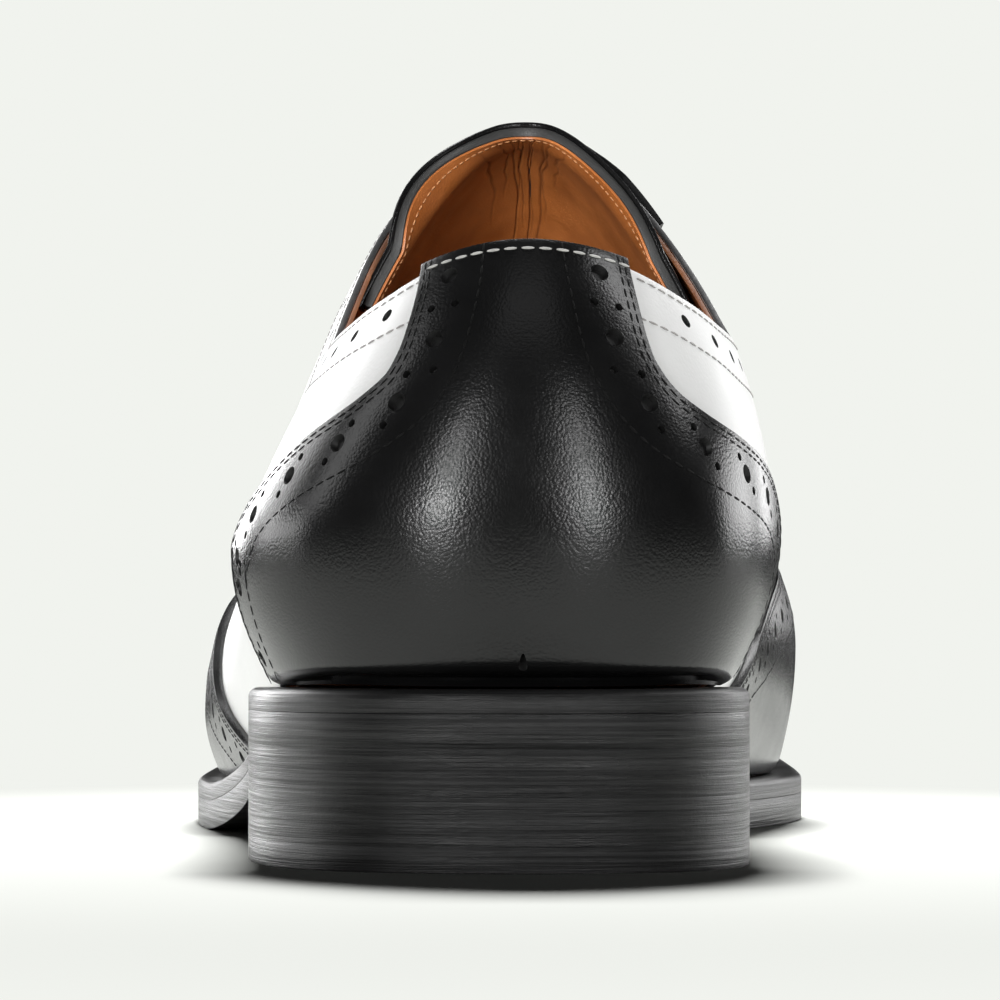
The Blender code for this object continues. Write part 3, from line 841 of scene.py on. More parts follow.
def pebble_grain(material, place, size, strength):
    """Fine leather grain: small rounded cells of uneven size with soft valleys."""
    shift = add_node(material, "ShaderNodeVectorMath", operation="MULTIPLY_ADD")
    shift.inputs[1].default_value = (size, size, size)
    link(material, noise(material, place, GRAIN_WANDER / size, detail=1)["Color"], shift.inputs[0])
    link(material, place, shift.inputs[2])
    cells = add_node(material, "ShaderNodeTexVoronoi", feature="F1", Scale=1 / size)
    link(material, shift.outputs["Vector"], cells.inputs["Vector"])
    grain = bump(material, cells.outputs["Distance"], strength, -GRAIN_DEPTH * size)
    fine = noise(material, place, FINE_RATE / size, detail=2)["Fac"]
    bump(material, fine, strength / 2, FINE_DEPTH * size, grain)


def patchy(name, tones, patches, roughness, rough_patches, detail=4):
    """A finish with patches of two tones and of uneven gloss."""
    material = new_material(name)
    place = object_place(material)
    two_tone(material, place, patches, tones, detail)
    vary(material, place, rough_patches, roughness, "Roughness")
    return material, place


def black_leather():
    tones = (0.0050, 0.0050, 0.0052), (0.0080, 0.0080, 0.0083)
    material, place = patchy("black_leather_fine", tones, patches=60, roughness=(0.215, 0.26),
                             rough_patches=180)
    pebble_grain(material, place, size=0.42 * MM, strength=0.17)
    # painted shade: no gloss in the heel's groove
    dull_painted_shade(material)
    return material


def white_leather():
    tones = (0.84, 0.84, 0.835), (0.88, 0.88, 0.875)
    material, place = patchy("white_leather_smooth", tones, patches=45, roughness=(0.38, 0.48),
                             rough_patches=160)
    pebble_grain(material, place, size=0.6 * MM, strength=0.1)
    return material


def tan_leather():
    tones = (0.26, 0.078, 0.016), (0.39, 0.128, 0.030)
    material, place = patchy("tan_lining", tones, patches=90, roughness=(0.42, 0.58), rough_patches=220,
                             detail=5)
    # painted shade: darker brown in the lining's creases, by their depth
    darken_painted_shade(material, (0.06, 0.018, 0.005))
    pebble_grain(material, place, size=0.4 * MM, strength=0.3)
    return material


def edge_paint():
    tones = (0.016, 0.016, 0.0165), (0.032, 0.032, 0.033)
    material, _ = patchy("dark_edge_paint", tones, patches=400, roughness=(0.42, 0.6), rough_patches=900)
    return material


# Share of painted shade that a piece carries at each point
def painted_shade_share(material):
    return add_node(material, "ShaderNodeAttribute", attribute_name="worn").outputs["Fac"]


def darken_painted_shade(material, colour):
    """Painted shade: takes the base colour towards a darker one by the share of painted shade that a piece
    carries.
    """
    mix = add_node(material, "ShaderNodeMix", data_type="RGBA")
    share, first, second = mix.inputs[0], mix.inputs[6], mix.inputs[7]
    target = shader_of(material).inputs["Base Color"]
    link(material, painted_shade_share(material), share)
    link(material, target.links[0].from_socket, first)
    second.default_value = (*colour, 1)
    link(material, mix.outputs[2], target)


def dull_painted_shade(material):
    """Painted shade: takes the gloss away by the share of painted shade that a piece carries, so that the
    heel's groove looks shaded.
    """
    gloss = shader_of(material).inputs["Specular IOR Level"]
    spread(material, painted_shade_share(material), (0, 1), (0.5, 0), gloss)


def brushed_edge(name, roughness):
    """Dark edge brushed lengthways, with dull scratches between its glossy streaks."""
    material = new_material(name)
    lines = object_place(material, (12, 12, 1000))
    streaks = noise(material, lines, scale=2.2, detail=5, Roughness=0.65)["Fac"]
    brushed = bump(material, streaks, strength=0.7, distance=0.25 * MM)
    grit = noise(material, object_place(material), scale=2200, detail=2)["Fac"]
    bump(material, grit, strength=0.3, distance=0.07 * MM, below=brushed)
    tones = (0.004, 0.004, 0.0042), (0.013, 0.013, 0.0134)
    two_tone(material, lines, 1.6, tones, detail=5)
    vary(material, lines, 1.3, roughness, "Roughness")
    vary(material, lines, 2.0, (0.32, 0.54), "Specular IOR Level", detail=4, softness=0.1)
    return material


def thread(name, colour, gloss=0.5):
    material = new_material(name)
    shader_of(material).inputs["Roughness"].default_value = THREAD_ROUGHNESS
    shader_of(material).inputs["Specular IOR Level"].default_value = gloss
    place = object_place(material)
    shade = tuple(THREAD_SHADE * part for part in colour)
    two_tone(material, place, 900, (shade, colour))
    twist = noise(material, place, scale=5200, detail=1)["Fac"]
    bump(material, twist, strength=0.5, distance=0.08 * MM)
    return material


def hole_dark():
    material = new_material("punched_dark")
    shader_of(material).inputs["Roughness"].default_value = 0.45
    two_tone(material, object_place(material), 1500, ((0.005, 0.005, 0.005), (0.012, 0.012, 0.012)))
    return material


BLACK = black_leather()
WHITE = white_leather()
TAN = tan_leather()
EDGE_PAINT = edge_paint()
SOLE_EDGE = brushed_edge("brushed_sole_edge", (0.30, 0.46))
RUBBER = brushed_edge("rubber_top_lift", (0.34, 0.5))
WHITE_THREAD = thread("white_thread", (0.78, 0.77, 0.74))
GREY_THREAD = thread("grey_thread", (0.42, 0.40, 0.39))
BLACK_THREAD = thread("black_thread", (0.005, 0.005, 0.005), 0.15)
TAN_THREAD = thread("tan_thread", (0.36, 0.16, 0.06))
FELT = thread("grey_felt", (0.017, 0.017, 0.0165))
CORD = thread("waxed_lace", (0.020, 0.020, 0.021))
DARK = hole_dark()


# Upper
def groove(q):
    """How much of the heel's groove there is: all of it round the back, none along the sides."""
    return smooth_step((GROOVE_END - section_number(q)) / GROOVE_FADE)


def rolled_in(q, v):
    """An overlay's height, rolled in to the sole at its foot and further in above the heel."""
    deep = groove(q)
    foot = FOOT_HEIGHT - GROOVE_DEPTH * deep
    rise = (v - ROLL_START - GROOVE_START * deep) / (ROLL_SPAN - GROOVE_TIGHTER * deep)
    return foot + (OVERLAY_FACE - foot) * np.sqrt(1 - (1 - np.clip(rise, 0, 1)) ** 2)


def drawn_back(q, v):
    """How far the upper and its lining stand in behind the heel's groove."""
    low = 1 - smooth_step((v - BEHIND_START) / BEHIND_SPAN)
    return (GROOVE_DEPTH + BEHIND_GROOVE) * groove(q) * low


def upper_place(s):
    return np.interp(s, np.linspace(0, 1, len(UPPER_COLUMNS)), UPPER_COLUMNS)


def upper_shape(s, t):
    q = upper_place(s)
    v = t * upper_top(q)
    return offset_point(q, v, -drawn_back(q, v))


def near_crest(t):
    return smooth_step((t - CREST_START) / CREST_SPAN)


def upper_crest(s, t):
    """Weight for rounding the vamp over the ridge, in front of the throat."""
    return near_crest(t) * smooth_step((section_number(upper_place(s)) - VAMP_CREST) / VAMP_CREST_FADE)


def lining_shape(s, t):
    q = s * LOOP
    v = LINING_START + t * (upper_top(q) - LINING_SHORTER)
    return offset_point(q, v, -LINING_FACE - drawn_back(q, v))


def counter_corner(side):
    """How far up the counter's edge meets the topline."""
    v = CORNER_GUESS
    for _ in range(SEEK_STEPS):
        v = float(upper_top(on_side(counter_edge[side](v), side)))
    return v


CORNERS = [counter_corner(side) for side in (0, 1)]
CORNER_SECTIONS = [float(counter_edge[side](CORNERS[side])) for side in (0, 1)]


def counter_place(s, t):
    across = 2 * s - 1
    inner = across < 0
    corner = np.where(inner, CORNERS[1], CORNERS[0])

    def section(v):
        return abs(across) * np.where(inner, counter_edge[1](v), counter_edge[0](v))

    return on_side(section(t * corner), inner), t * upper_top(on_side(section(corner), inner))


def counter_shape(s, t):
    q, v = counter_place(s, t)
    points = offset_point(q, v, rolled_in(q, v))
    points[:, 2] -= GAP * groove(q) * np.clip(1 - v / FOOT_DROP_SPAN, 0, 1)
    return points


def counter_wear(s, t):
    """Painted shade: the leather is left dull inside the heel's groove, so that the groove looks shaded."""
    q, v = counter_place(s, t)
    return groove(q) * (1 - smooth_step((v - GROOVE_SHADE_SPAN) / GROOVE_SHADE_SPAN))


def wing_shape(s, t):
    start = wing_edge[0](t)
    end = LOOP - wing_edge[1](t)
    q = start + (end - start) * s
    over_ridge = smooth_step((t - (1 - RIDGE_BLEND)) / RIDGE_BLEND)[:, None]
    normal = unit(last_normal(q, t) + over_ridge * last_normal(LOOP - q, t))
    return last_point(q, t) + normal * rolled_in(q, t)[:, None]


def wing_crest(s, t):
    """Weight for rounding the wing cap over the ridge, away from its edges."""
    return near_crest(t) * smooth_step((WING_CREST_HALF - abs(s - 0.5)) / WING_CREST_FADE)


def edge_lines(edge, low, high):
    """An overlay's edge on both sides, between two shares of the way up for each of them."""
    lines = []
    for side in (0, 1):
        v = np.linspace(low[side], high[side], SAMPLES)
        lines.append((on_side(edge[side](v), side), v))
    return lines


# The counter's edges run from its top corners down, the wing cap's from the sole up to the ridge.
COUNTER_TOPS = [corner + EDGE_OVERRUN for corner in CORNERS]
COUNTER_LINES = edge_lines(counter_edge, COUNTER_TOPS, (EDGE_FOOT, EDGE_FOOT))
WING_LINES = edge_lines(wing_edge, (EDGE_FOOT, EDGE_FOOT), (EDGE_TOP, EDGE_TOP))
WAYS_IN = (1, -1)  # way from an overlay's edge to its inside, on the outer and on the inner side


def facing_span(inner):
    """First and last section of a facing. The outer one starts a little further from the topline."""
    sections = np.linspace(FACING_WIDTH[0][0], FACING_WIDTH[-1][0], SAMPLES)
    covered = upper_top(sections) - climb_to(sections, facing_width(sections))
    found = sections[covered > FACING_LEAST]
    return found[0] + FACING_STARTS[inner], found[-1]


FACING_SPANS = facing_span(False), facing_span(True)


def facing_low(section, inner):
    """A facing's lower edge."""
    q = on_side(section, inner)
    return q, np.minimum(climb_to(q, facing_width(section)), upper_top(q))


def facing_shape(inner):
    def shape(s, t):
        first, last = FACING_SPANS[inner]
        q, low = facing_low(first + s * (last - first), inner)
        v = low + t * (upper_top(q) - low)
        return offset_point(q, v, np.full(len(q), OVERLAY_FACE))

    return shape


def quarter_lines(start, end):
    """The topline on both sides, from a little past the counter to a little past the facing's start."""
    q = np.linspace(CORNER_SECTIONS[0] + start, FACING_SPANS[1][0] + end, SAMPLES)
    return [(places, upper_top(places)) for places in (q, LOOP - q[::-1])]


def make_upper():
    upper = sheet("upper_leather", upper_shape, (WHITE, EDGE_PAINT, DARK), UPPER_LEATHER, UPPER_ROUND,
                  rim_material=1, crest=upper_crest)
    holes = []
    for line in quarter_lines(QUARTER_HOLES_FROM, 0):
        holes.append((evenly(inset(line, QUARTER_ROW), QUARTER_PITCH, *QUARTER_FREE), QUARTER_HOLE))
    punch_holes(upper, holes, 0)
    finish(upper, "white_leather", "upper")


def make_lining():
    lining = sheet("quarter_lining", lining_shape, [TAN], LINING, LINING_ROUND, faces_in=True)
    finish(lining, "tan_leather")


def brogue_holes(lines):
    """Large holes along the middle of a band, with a pair of small ones between them."""
    holes = []
    for line, way in zip(lines, WAYS_IN):
        middle = below_top(inset(line, way * BAND_MIDDLE))
        holes.append((evenly(middle, HOLE_PITCH, *LARGE_FREE), LARGE_HOLE))
        for away in (-PAIR_HALF, PAIR_HALF):
            row = below_top(inset(line, way * (BAND_MIDDLE + away)))
            holes.append((evenly(row, HOLE_PITCH, *SMALL_FREE), SMALL_HOLE))
    return holes


def overlay(name, shape, lines, **looks):
    """A black overlay with brogue holes along its edges."""
    piece = sheet(name, shape, (BLACK, DARK), OVERLAY, EDGE_ROUND, segments=3, **looks)
    punch_holes(piece, brogue_holes(lines), OVERLAY_FACE)
    return piece


def make_counter():
    # painted shade: the counter's gloss is taken away in the heel's groove
    counter = overlay("counter_leather", counter_shape, COUNTER_LINES, wear=counter_wear)
    nick_back_seam(counter)
    finish(counter, "black_leather", "counter")


def nick_back_seam(counter):
    """A small pointed nick at the foot of the heel's back seam."""
    foot = placed(offset_point(np.array(0.0), np.array(NICK_PLACE), OVERLAY_FACE)) - (0, 0, NICK_DROP)
    cutter = add(bpy.ops.mesh.primitive_cone_add, vertices=14, radius1=NICK_RADIUS, depth=NICK_HEIGHT,
                 location=foot)
    cutter.data.materials.append(DARK)
    cut_out(counter, cutter)


def make_wing():
    wing = overlay("wing_cap_leather", wing_shape, WING_LINES, crest=wing_crest)
    finish(wing, "black_leather", "wing_cap")


def make_facings():
    sides = ("outer_facing", "facing_lateral"), ("inner_facing", "facing_medial")
    for inner, (name, node) in enumerate(sides):
        facing = sheet(name, facing_shape(inner), [BLACK], OVERLAY, EDGE_ROUND)
        finish(facing, "black_leather", node)


def make_stitches():
    dark_rows = []
    for lines in (COUNTER_LINES, WING_LINES):
        for line, way in zip(lines, WAYS_IN):
            for distance in EDGE_ROWS:
                dark_rows.append(evenly(below_top(inset(line, way * distance)), DARK_PITCH, *EDGE_FREE))
    for inner, way in enumerate(WAYS_IN):
        edge = facing_low(np.linspace(*FACING_SPANS[inner], SAMPLES), inner)
        for distance in FACING_ROWS:
            dark_rows.append(evenly(inset(edge, -way * distance), DARK_PITCH, *FACING_FREE))
    sew("black_stitches", dark_rows, OVERLAY_FACE + SUNK_PROUD, DARK_STITCH, BLACK_THREAD, "black_leather")

    top = np.linspace(-CORNER_SECTIONS[1], CORNER_SECTIONS[0], SAMPLES)
    row = evenly(inset((top, upper_top(top)), TOP_ROW), TOP_PITCH, *TOP_FREE)
    sew("white_stitches", [row], OVERLAY_FACE + TOP_PROUD, TOP_STITCH, WHITE_THREAD, "white_leather")

    grey_rows = []
    for line in quarter_lines(GREY_FROM, GREY_PAST):
        for distance in GREY_ROWS:
            grey_rows.append(evenly(inset(line, distance), GREY_PITCH, *GREY_FREE))
    sew("grey_stitches", grey_rows, SUNK_PROUD, GREY_STITCH, GREY_THREAD, "white_leather")


# Tongue
def tongue_reach(section):
    """Half width of the tongue, wider at its top so that its corners stay inside the quarters."""
    return tongue_width(section) + TOP_WIDER * smooth_step((WIDER_END - section) / WIDER_FADE)


def tongue_place(beside, t, inner):
    bend = np.sqrt(beside**2 + TONGUE_BEND_ROUND**2) - TONGUE_BEND_ROUND
    top = TONGUE_TOP + TONGUE_BEND * (beside - bend)
    section = TONGUE_FOOT + (top - TONGUE_FOOT) * t
    q = on_side(section, inner)
    return q, climb_to(q, beside * tongue_reach(section)), section


def tongue_height(beside, section, inner):
    """Inside the upper, with the tongue's free top arching out above the topline."""
    free = smooth_step((TONGUE_FREE - section) / (TONGUE_FREE - TONGUE_TOP))
    share = np.clip(beside * tongue_reach(section) / tongue_width(section), 0, 1)
    arch = np.sin(math.pi * share**FLARE_FOCUS)
    rise = FLARES[inner] * arch + TAILS[inner] * smooth_step((share - TAIL_START) / TAIL_SPAN)
    for place in (SHOULDER_PLACE, -SHOULDER_PLACE):
        rise = rise + SHOULDER * np.exp(-(((share - place) / SHOULDER_WIDTH) ** 2))
    return free * rise - UPPER_WALL - TONGUE_GAP


def tongue_point(across, t):
    """A point of the tongue's outer face, its two halves blended into a round over the ridge."""
    beside = np.sqrt(across**2 + CREST_ROUND**2)
    halves = []
    for inner in (False, True):
        q, v, section = tongue_place(beside, t, inner)
        halves.append(offset_point(q, v, tongue_height(beside, section, inner)))
    inner_share = ((1 + across / beside) / 2)[:, None]
    return halves[0] * (1 - inner_share) + halves[1] * inner_share


def tongue_normal(across, t):
    """Outward normal of the tongue's own face."""
    sideways = tongue_point(across + TONGUE_STEP, t) - tongue_point(across - TONGUE_STEP, t)
    lengthways = tongue_point(across, t + TONGUE_STEP) - tongue_point(across, t - TONGUE_STEP)
    return unit(np.cross(lengthways, sideways))


def under_tongue(across, along, depth):
    """A point at a depth under the tongue's outer face."""
    return tongue_point(across, along) - tongue_normal(across, along) * np.asarray(depth)[..., None]


def tongue_shape(s, t):
    return tongue_point(2 * s - 1, t)


def tongue_felt_shape(s, t):
    """The padding between the tongue's skin and its lining, a little shorter than the skin."""
    return under_tongue((2 * s - 1) * FELT_ACROSS, t * FELT_ALONG, TONGUE_SKIN)


def creases(across, t):
    """Depth of the creases down the tongue's lining, from just under its top."""
    total = np.zeros(len(t))
    down = (1 - t) * TONGUE_LENGTH - CREASE_START
    for where, depth, length, sway in TONGUE_CREASES:
        along = np.clip(down / (length * MM), 0, 1)
        middle = where + CREASE_SWAY * sway * np.sin(SWAY_RATE * along)
        for size, rate, shift in CREASE_WAVES:
            middle = middle + size * np.sin(rate * along + shift * where)
        fade = np.sqrt(np.sin(math.pi * along))
        total += depth * MM * fade * np.exp(-(((across - middle) / CREASE_WIDTH) ** 2))
    return total


def lining_place(s, t):
    """Shares across and along the tongue for its lining, its rows closer together near the top."""
    return (2 * s - 1) * LINING_ACROSS, (1 - (1 - t) ** LINING_CROWDING) * LINING_ALONG


def tongue_lining_shape(s, t):
    across, along = lining_place(s, t)
    return under_tongue(across, along, TONGUE + TONGUE_LINING - creases(across, along))


# Painted shade for the lining's creases: the darkening grows with a crease's depth, full at DEEP_CREASE
def tongue_lining_wear(s, t):
    return creases(*lining_place(s, t)) / DEEP_CREASE


def sew_tongue():
    """A row of stitches along the lining's top edge."""
    depth = TONGUE + TONGUE_LINING
    row = LINING_ALONG - LINING_ROW / TONGUE_LENGTH
    across = np.linspace(-LINING_ACROSS, LINING_ACROSS, SAMPLES)
    run = run_along(under_tongue(across, np.full(SAMPLES, row), depth))
    stops = np.interp(np.arange(LINING_FREE, run[-1], LINING_PITCH), run, across)
    along = np.full(len(stops), row)
    seat = under_tongue(stops, along, depth)
    stitches = copies("tongue_stitches", stitch_shape(LINING_STITCH), placed(seat),
                      unit(np.gradient(seat, axis=0)), -tongue_normal(stops, along), TAN_THREAD)
    finish(stitches, "tan_leather")


def make_tongue():
    tongue = sheet("tongue_leather", tongue_shape, [BLACK], TONGUE_SKIN, TONGUE_ROUND)
    finish(tongue, "black_leather", "tongue")
    felt = sheet("tongue_felt", tongue_felt_shape, [FELT], TONGUE - TONGUE_SKIN, FELT_ROUND)
    finish(felt, "black_leather")
    # painted shade: the lining darkens in its creases
    lining = sheet("tongue_lining", tongue_lining_shape, [TAN], TONGUE_LINING, TONGUE_LINING_ROUND,
                   faces_in=True, wear=tongue_lining_wear)
    finish(lining, "tan_leather")
    sew_tongue()


# Sole
def drawn_in(edge, middle, t):
    """Points from an edge line in to its middle, closer together near the edge."""
    return edge + (middle - edge) * (t**EDGE_CROWDING)[:, None]


def spine(q):
    """The line along the middle of the sole that its two sides are drawn in to."""
    section = section_number(q)
    along = np.linspace(0, SECTIONS, SAMPLES)
    line = (sole_outline(along) + sole_outline(LOOP - along)) / 2
    middle = (sole_outline(section) + sole_outline(LOOP - section)) / 2
    middle[:, 1] = np.clip(middle[:, 1], SPINE_START, SPINE_END)
    middle[:, 0] = np.interp(middle[:, 1], line[:, 1], line[:, 0])
    return middle


def raised(plan, height):
    return np.column_stack([plan, tread(plan[:, 1]) + height])


def outsole_shape(s, t):
    q = s * LOOP
    return raised(drawn_in(sole_outline(q), spine(q), t), OUTSOLE + GAP / 2)


def insole_shape(s, t):
    q = s * LOOP
    edge = feather(q) - outward(q) * (INSOLE_INSET + (GROOVE_DEPTH + LINING) * groove(q))[:, None]
    return raised(drawn_in(edge, spine(q), t), OUTSOLE + WELT + INSOLE + 2 * GAP)


def welt_profile():
    """The welt's section as a closed line. Columns: distance in from the edge, height."""
    turn = np.linspace(0, math.pi / 2, WELT_CORNER_POINTS)
    corner = np.column_stack([WELT_ROUND * (1 - np.cos(turn)), WELT - WELT_ROUND * (1 - np.sin(turn))])
    foot, top = [WELT_WIDTH_INSIDE, 0], [WELT_WIDTH_INSIDE, WELT]
    return np.vstack([foot, [SEAM_ROUND, 0], [0, SEAM_ROUND], corner, top, foot])


def welt_shape(s, t):
    profile = welt_profile()
    steps = np.linspace(0, 1, len(profile))
    inside = np.interp(t, steps, profile[:, 0])
    height = np.interp(t, steps, profile[:, 1])
    q = s * LOOP
    reach = margin(q)[:, 0] + WELT_WIDTH_INSIDE
    share = inside / WELT_WIDTH_INSIDE
    plan = sole_outline(q, (share * reach)[:, None])
    return raised(plan, OUTSOLE + GAP / 2 + height * (WELT + GAP / 2) / WELT)


def heel_front(inner):
    """Section at which one side of the sole passes the heel's breast."""
    sections = np.linspace(0, SECTIONS / 2, SAMPLES)
    return np.interp(HEEL_BREAST_Y, sole_outline(on_side(sections, inner))[:, 1], sections)


def heel_plan(s, t):
    """Ring along the heel's edge and across its breast, drawn in to its middle."""
    outer, inner = heel_front(False), heel_front(True)
    around_back = np.clip(s / BREAST_SHARE, 0, 1)
    edge = sole_outline(-inner + (inner + outer) * around_back)
    ends = sole_outline(np.array([outer, -inner]))
    across = np.clip((s - BREAST_SHARE) / (1 - BREAST_SHARE), 0, 1)[:, None]
    edge = np.where(s[:, None] > BREAST_SHARE, ends[0] + (ends[1] - ends[0]) * across, edge)
    return drawn_in(edge, np.array([[BOX_MIDDLE[0], HEEL_BREAST_Y / 2]]), t)


def heel_shape(s, t):
    return raised(heel_plan(s, t), 0.0)


def lift_shape(s, t):
    plan = heel_plan(s, t)
    return np.column_stack([plan, np.full(len(plan), TOP_LIFT + GAP / 2)])


def drop_to(height):
    """Pulls the selected sheet down into a block with a flat underside."""
    def step():
        bpy.ops.mesh.extrude_region_move(TRANSFORM_OT_translate={"value": (0, 0, -1 * MM)})
        bpy.ops.transform.resize(value=(1, 1, 0), center_override=(0, 0, height))

    return step


def make_sole():
    outsole = moulded("outsole_plate", outsole_shape, [SOLE_EDGE])
    thicken_down(outsole, OUTSOLE + GAP / 2)
    round_edges(outsole, SEAM_ROUND)
    finish(outsole, "sole_edge", "outsole")
    insole = moulded("insole_sock", insole_shape, [TAN])
    thicken_down(insole, INSOLE)
    round_edges(insole, EDGE_ROUND)
    finish(insole, "tan_leather", "insole")
    welt = moulded("welt_strip", welt_shape, [SOLE_EDGE])
    in_edit_mode(welt, face_out)
    finish(welt, "sole_edge", "welt")


def make_heel():
    block = moulded("heel_block", heel_shape, [SOLE_EDGE])
    in_edit_mode(block, drop_to(TOP_LIFT + GAP / 2), weld, face_out)
    finish(block, "sole_edge", "heel_stack")
    lift = moulded("heel_lift", lift_shape, [RUBBER])
    in_edit_mode(lift, drop_to(0.0), weld, face_out)
    round_edges(lift, SEAM_ROUND)
    finish(lift, "top_lift", "top_lift")


# Laces
def spot_on_last(y, across, inner):
    """Place at a given y and distance from the ridge, on the inner or the outer side."""
    sections = np.linspace(0, SECTIONS, SAMPLES)
    section = float(np.interp(y, ridge_curve(sections)[:, 1], sections))
    for _ in range(SEEK_STEPS):
        q = on_side(section, inner)
        v = float(climb_to(q, np.array(across)))
        section += (y - float(last_point(q, v)[1])) / float(ridge_curve(section, slope=True)[1])
    return float(q), v


def lace_points(y):
    """Points along one bar: out of an eyelet, over both facings and into the other eyelet."""
    spots = [(share, height, False) for share, height in LACE_HALF]
    spots += [(0.0, LACE_OVER, False)]
    spots += [(share, height, True) for share, height in LACE_HALF[::-1]]
    points = []
    for share, height, inner in spots:
        q, v = spot_on_last(y, share * EYELET_FROM_RIDGE, inner)
        points.append(placed(offset_point(q, v, height)))
    return points


def lace_curve(name, points):
    """A round cord along points."""
    curve = bpy.data.curves.new(name, "CURVE")
    curve.dimensions = "3D"
    curve.bevel_depth = LACE_RADIUS
    curve.bevel_resolution = 4
    curve.use_fill_caps = True
    spline = curve.splines.new("NURBS")
    spline.points.add(len(points) - 1)
    for spot, point in zip(spline.points, points):
        spot.co = (*point, 1)
    spline.order_u = 3
    spline.use_endpoint_u = True
    spline.resolution_u = 8
    return curve


def make_laces():
    for row, y in enumerate(LACE_ROWS, 1):
        name = f"lace_bar_{row}"
        bar = bpy.data.objects.new(name, lace_curve(name, lace_points(y)))
        bpy.context.scene.collection.objects.link(bar)
        select_only(bar)
        bpy.ops.object.convert(target="MESH")
        bar = bpy.context.object
        bar.data.materials.append(CORD)
        finish(bar, "lace", f"lace_{row}")


def make_eyelets():
    places = [spot_on_last(y, EYELET_FROM_RIDGE, inner) for y in LACE_ROWS for inner in (False, True)]
    q, v = np.array(places).T
    points = placed(offset_point(q, v, np.full(len(q), OVERLAY_FACE)))
    normal = last_normal(q, v)
    along = unit(np.cross(normal, (1.0, 0.0, 0.0)))
    ring = add(bpy.ops.mesh.primitive_torus_add, major_segments=28, minor_segments=10,
               major_radius=EYELET_RADIUS, minor_radius=EYELET_RIM)
    ring = resized(ring, (1, 1, EYELET_FLATTENED))
    rims = copies("eyelet_rims", ring, points, along, normal, EDGE_PAINT)
    finish(rims, "black_leather")


make_upper()
make_lining()
make_counter()
make_wing()
make_facings()
make_stitches()
make_tongue()
make_sole()
make_heel()
make_laces()
make_eyelets()


# Studio
CAMERA_BACK = 650 * MM  # behind the heel's back
CAMERA_HEIGHT = 30.5 * MM
PHOTO_FOCUS = 3560  # the photo's focal length in its pixels
PHOTO_HORIZON, PHOTO_MIDDLE = 618, 518  # rows of the photo: eye level, middle of the shoe
ENLARGED = 1.4
FRAME_PIXELS = 1000
SENSOR = 36
CLIP_START = 0.01
PAPER = (0.879, 0.896, 0.855)
FLOOR_PAPER = (0.68, 0.693, 0.662)
FLOOR_ROUGHNESS = 0.9
FLOOR_RADIUS = 0.6
GLOW_STRETCH = (1, 0.6, 1)
GLOW_SHIFT = (0, 0.036, 0)
GLOW_FROM, GLOW_FULL = 0.10, 0.20  # distances from the shoe's middle, after the stretch
ROOM_LIGHT = 0.02
LIGHT_DISTANCE = 1.6
AIM_HEIGHT = 50 * MM
# Soft boxes: narrow ones near the camera for the streaks on the heel, panels behind the shoe for its rims.
# Columns: name; azimuth from the camera's side, elevation; width, height; power.
SHOE_LIGHTS = (
    ("left_strip", -23.5, 15, 0.08, 0.80, 3.9),
    ("left_core", -23.5, 6.5, 0.08, 0.22, 2.0),
    ("right_strip", 20.5, 15, 0.08, 0.80, 3.2),
    ("right_core", 20, 6.5, 0.08, 0.22, 1.4),
    ("left_panel", -135, 26, 0.9, 0.8, 7),
    ("left_low", -112, 7, 1.0, 0.38, 4.2),
    ("left_rear", -150, 14, 0.3, 0.75, 9),
    ("left_side", -90, 30, 0.4, 0.8, 2),
    ("right_panel", 146, 38, 0.9, 0.8, 5),
    ("right_low", 120, 8, 0.9, 0.42, 6.5),
    ("right_rear", 150, 14, 0.3, 0.75, 3.5),
    ("right_side", 90, 42, 0.4, 0.8, 5),
    ("overhead", 180, 70, 0.8, 0.8, 15),
    ("front_top", 0, 55, 0.8, 0.5, 0.5),
)
FLOOR_LIGHT = ("floor_key", 180, 54, 0.38, 0.38, 56)
LINING_LIGHT = ("lining_fill", -12, 3, 0.4, 0.2, 34)


def make_camera():
    data = bpy.data.cameras.new("camera")
    data.sensor_width = SENSOR
    data.lens = PHOTO_FOCUS * ENLARGED * SENSOR / FRAME_PIXELS
    data.clip_start = CLIP_START
    camera = bpy.data.objects.new("camera", data)
    bpy.context.scene.collection.objects.link(camera)
    camera.location = (-BOX_MIDDLE[0], -CAMERA_BACK - BOX_MIDDLE[1], CAMERA_HEIGHT)
    upward = math.atan((PHOTO_HORIZON - PHOTO_MIDDLE) / PHOTO_FOCUS)
    camera.rotation_euler = (RIGHT_ANGLE + upward, 0, 0)
    bpy.context.scene.camera = camera


def floor_paper():
    """Dull paper that glows at the backdrop's tone away from the shoe."""
    material = new_material("floor_paper")
    shader = shader_of(material)
    shader.inputs["Base Color"].default_value = (*FLOOR_PAPER, 1)
    shader.inputs["Roughness"].default_value = FLOOR_ROUGHNESS
    shader.inputs["Specular IOR Level"].default_value = 0.0
    behind = add_node(material, "ShaderNodeVectorMath", operation="ADD")
    behind.inputs[1].default_value = GLOW_SHIFT
    link(material, object_place(material, GLOW_STRETCH), behind.inputs[0])
    distance = add_node(material, "ShaderNodeVectorMath", operation="LENGTH")
    link(material, behind.outputs["Vector"], distance.inputs[0])
    glow = add_node(material, "ShaderNodeEmission", Color=(*PAPER, 1))
    blend = add_node(material, "ShaderNodeMixShader")
    spread(material, distance.outputs["Value"], (GLOW_FROM, GLOW_FULL), (0, 1), blend.inputs["Fac"],
           interpolation_type="SMOOTHSTEP")
    link(material, shader.outputs["BSDF"], blend.inputs[1])
    link(material, glow.outputs["Emission"], blend.inputs[2])
    surface = material.node_tree.nodes["Material Output"].inputs["Surface"]
    link(material, blend.outputs["Shader"], surface)
    return material


def make_floor():
    floor = add(bpy.ops.mesh.primitive_circle_add, vertices=96, radius=FLOOR_RADIUS, fill_type="NGON")
    floor.name = "floor"
    floor.data.materials.append(floor_paper())


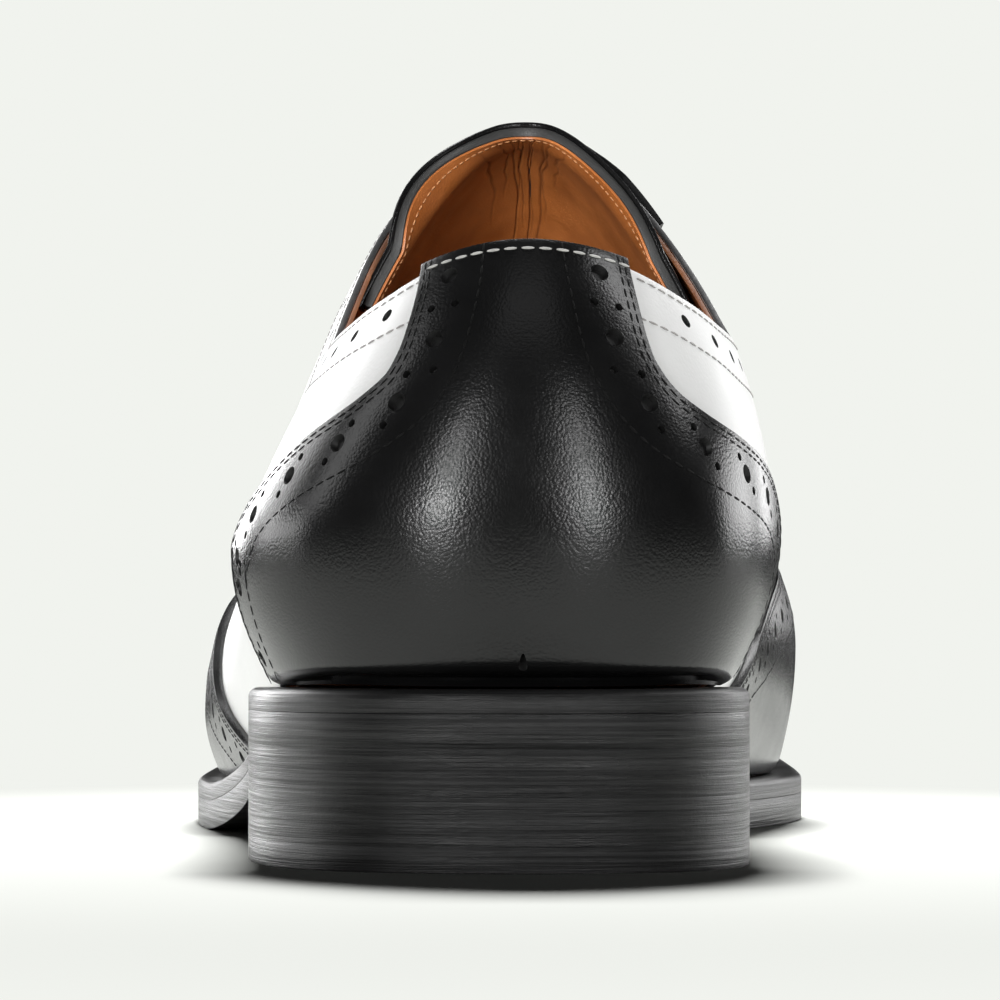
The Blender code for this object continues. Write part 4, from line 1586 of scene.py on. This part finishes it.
def soft_box(name, azimuth, elevation, width, height, power):
    """A soft light aimed at the shoe."""
    data = bpy.data.lights.new(name, "AREA")
    data.shape = "RECTANGLE"
    data.size = width
    data.size_y = height
    data.energy = power
    lamp = bpy.data.objects.new(name, data)
    bpy.context.scene.collection.objects.link(lamp)
    turn, rise = math.radians(azimuth), math.radians(elevation)
    lamp.location = (
        LIGHT_DISTANCE * math.sin(turn) * math.cos(rise),
        -LIGHT_DISTANCE * math.cos(turn) * math.cos(rise),
        LIGHT_DISTANCE * math.sin(rise) + AIM_HEIGHT,
    )
    lamp.rotation_euler = (RIGHT_ANGLE - rise, 0, turn)
    return lamp


def limit_light(lamp, names, state):
    """Keeps a lamp to some pieces, or off them."""
    group = bpy.data.collections.new(f"{lamp.name}_pieces")
    for name in names:
        group.objects.link(bpy.data.objects[name])
    lamp.light_linking.receiver_collection = group
    for entry in group.collection_objects:
        entry.light_linking.link_state = state


def make_world():
    """Pale paper all round for the camera, and a dim even room for the light."""
    world = bpy.data.worlds.new("studio")
    bpy.context.scene.world = world
    world.use_nodes = True
    nodes, links = world.node_tree.nodes, world.node_tree.links
    room = nodes["Background"]
    room.inputs["Color"].default_value = (ROOM_LIGHT, ROOM_LIGHT, ROOM_LIGHT, 1)
    paper = nodes.new("ShaderNodeBackground")
    paper.inputs["Color"].default_value = (*PAPER, 1)
    path = nodes.new("ShaderNodeLightPath")
    mix = nodes.new("ShaderNodeMixShader")
    links.new(path.outputs["Is Camera Ray"], mix.inputs["Fac"])
    links.new(room.outputs["Background"], mix.inputs[1])
    links.new(paper.outputs["Background"], mix.inputs[2])
    links.new(mix.outputs["Shader"], nodes["World Output"].inputs["Surface"])


def make_lights():
    for light in SHOE_LIGHTS:
        limit_light(soft_box(*light), ["floor"], "EXCLUDE")
    limit_light(soft_box(*FLOOR_LIGHT), ["floor"], "INCLUDE")
    limit_light(soft_box(*LINING_LIGHT), ["tongue_lining", "tongue_stitches", "tongue_felt"], "INCLUDE")


make_camera()
make_floor()
make_world()
make_lights()
bpy.context.scene.view_settings.view_transform = "Standard"
bpy.context.view_layer.update()
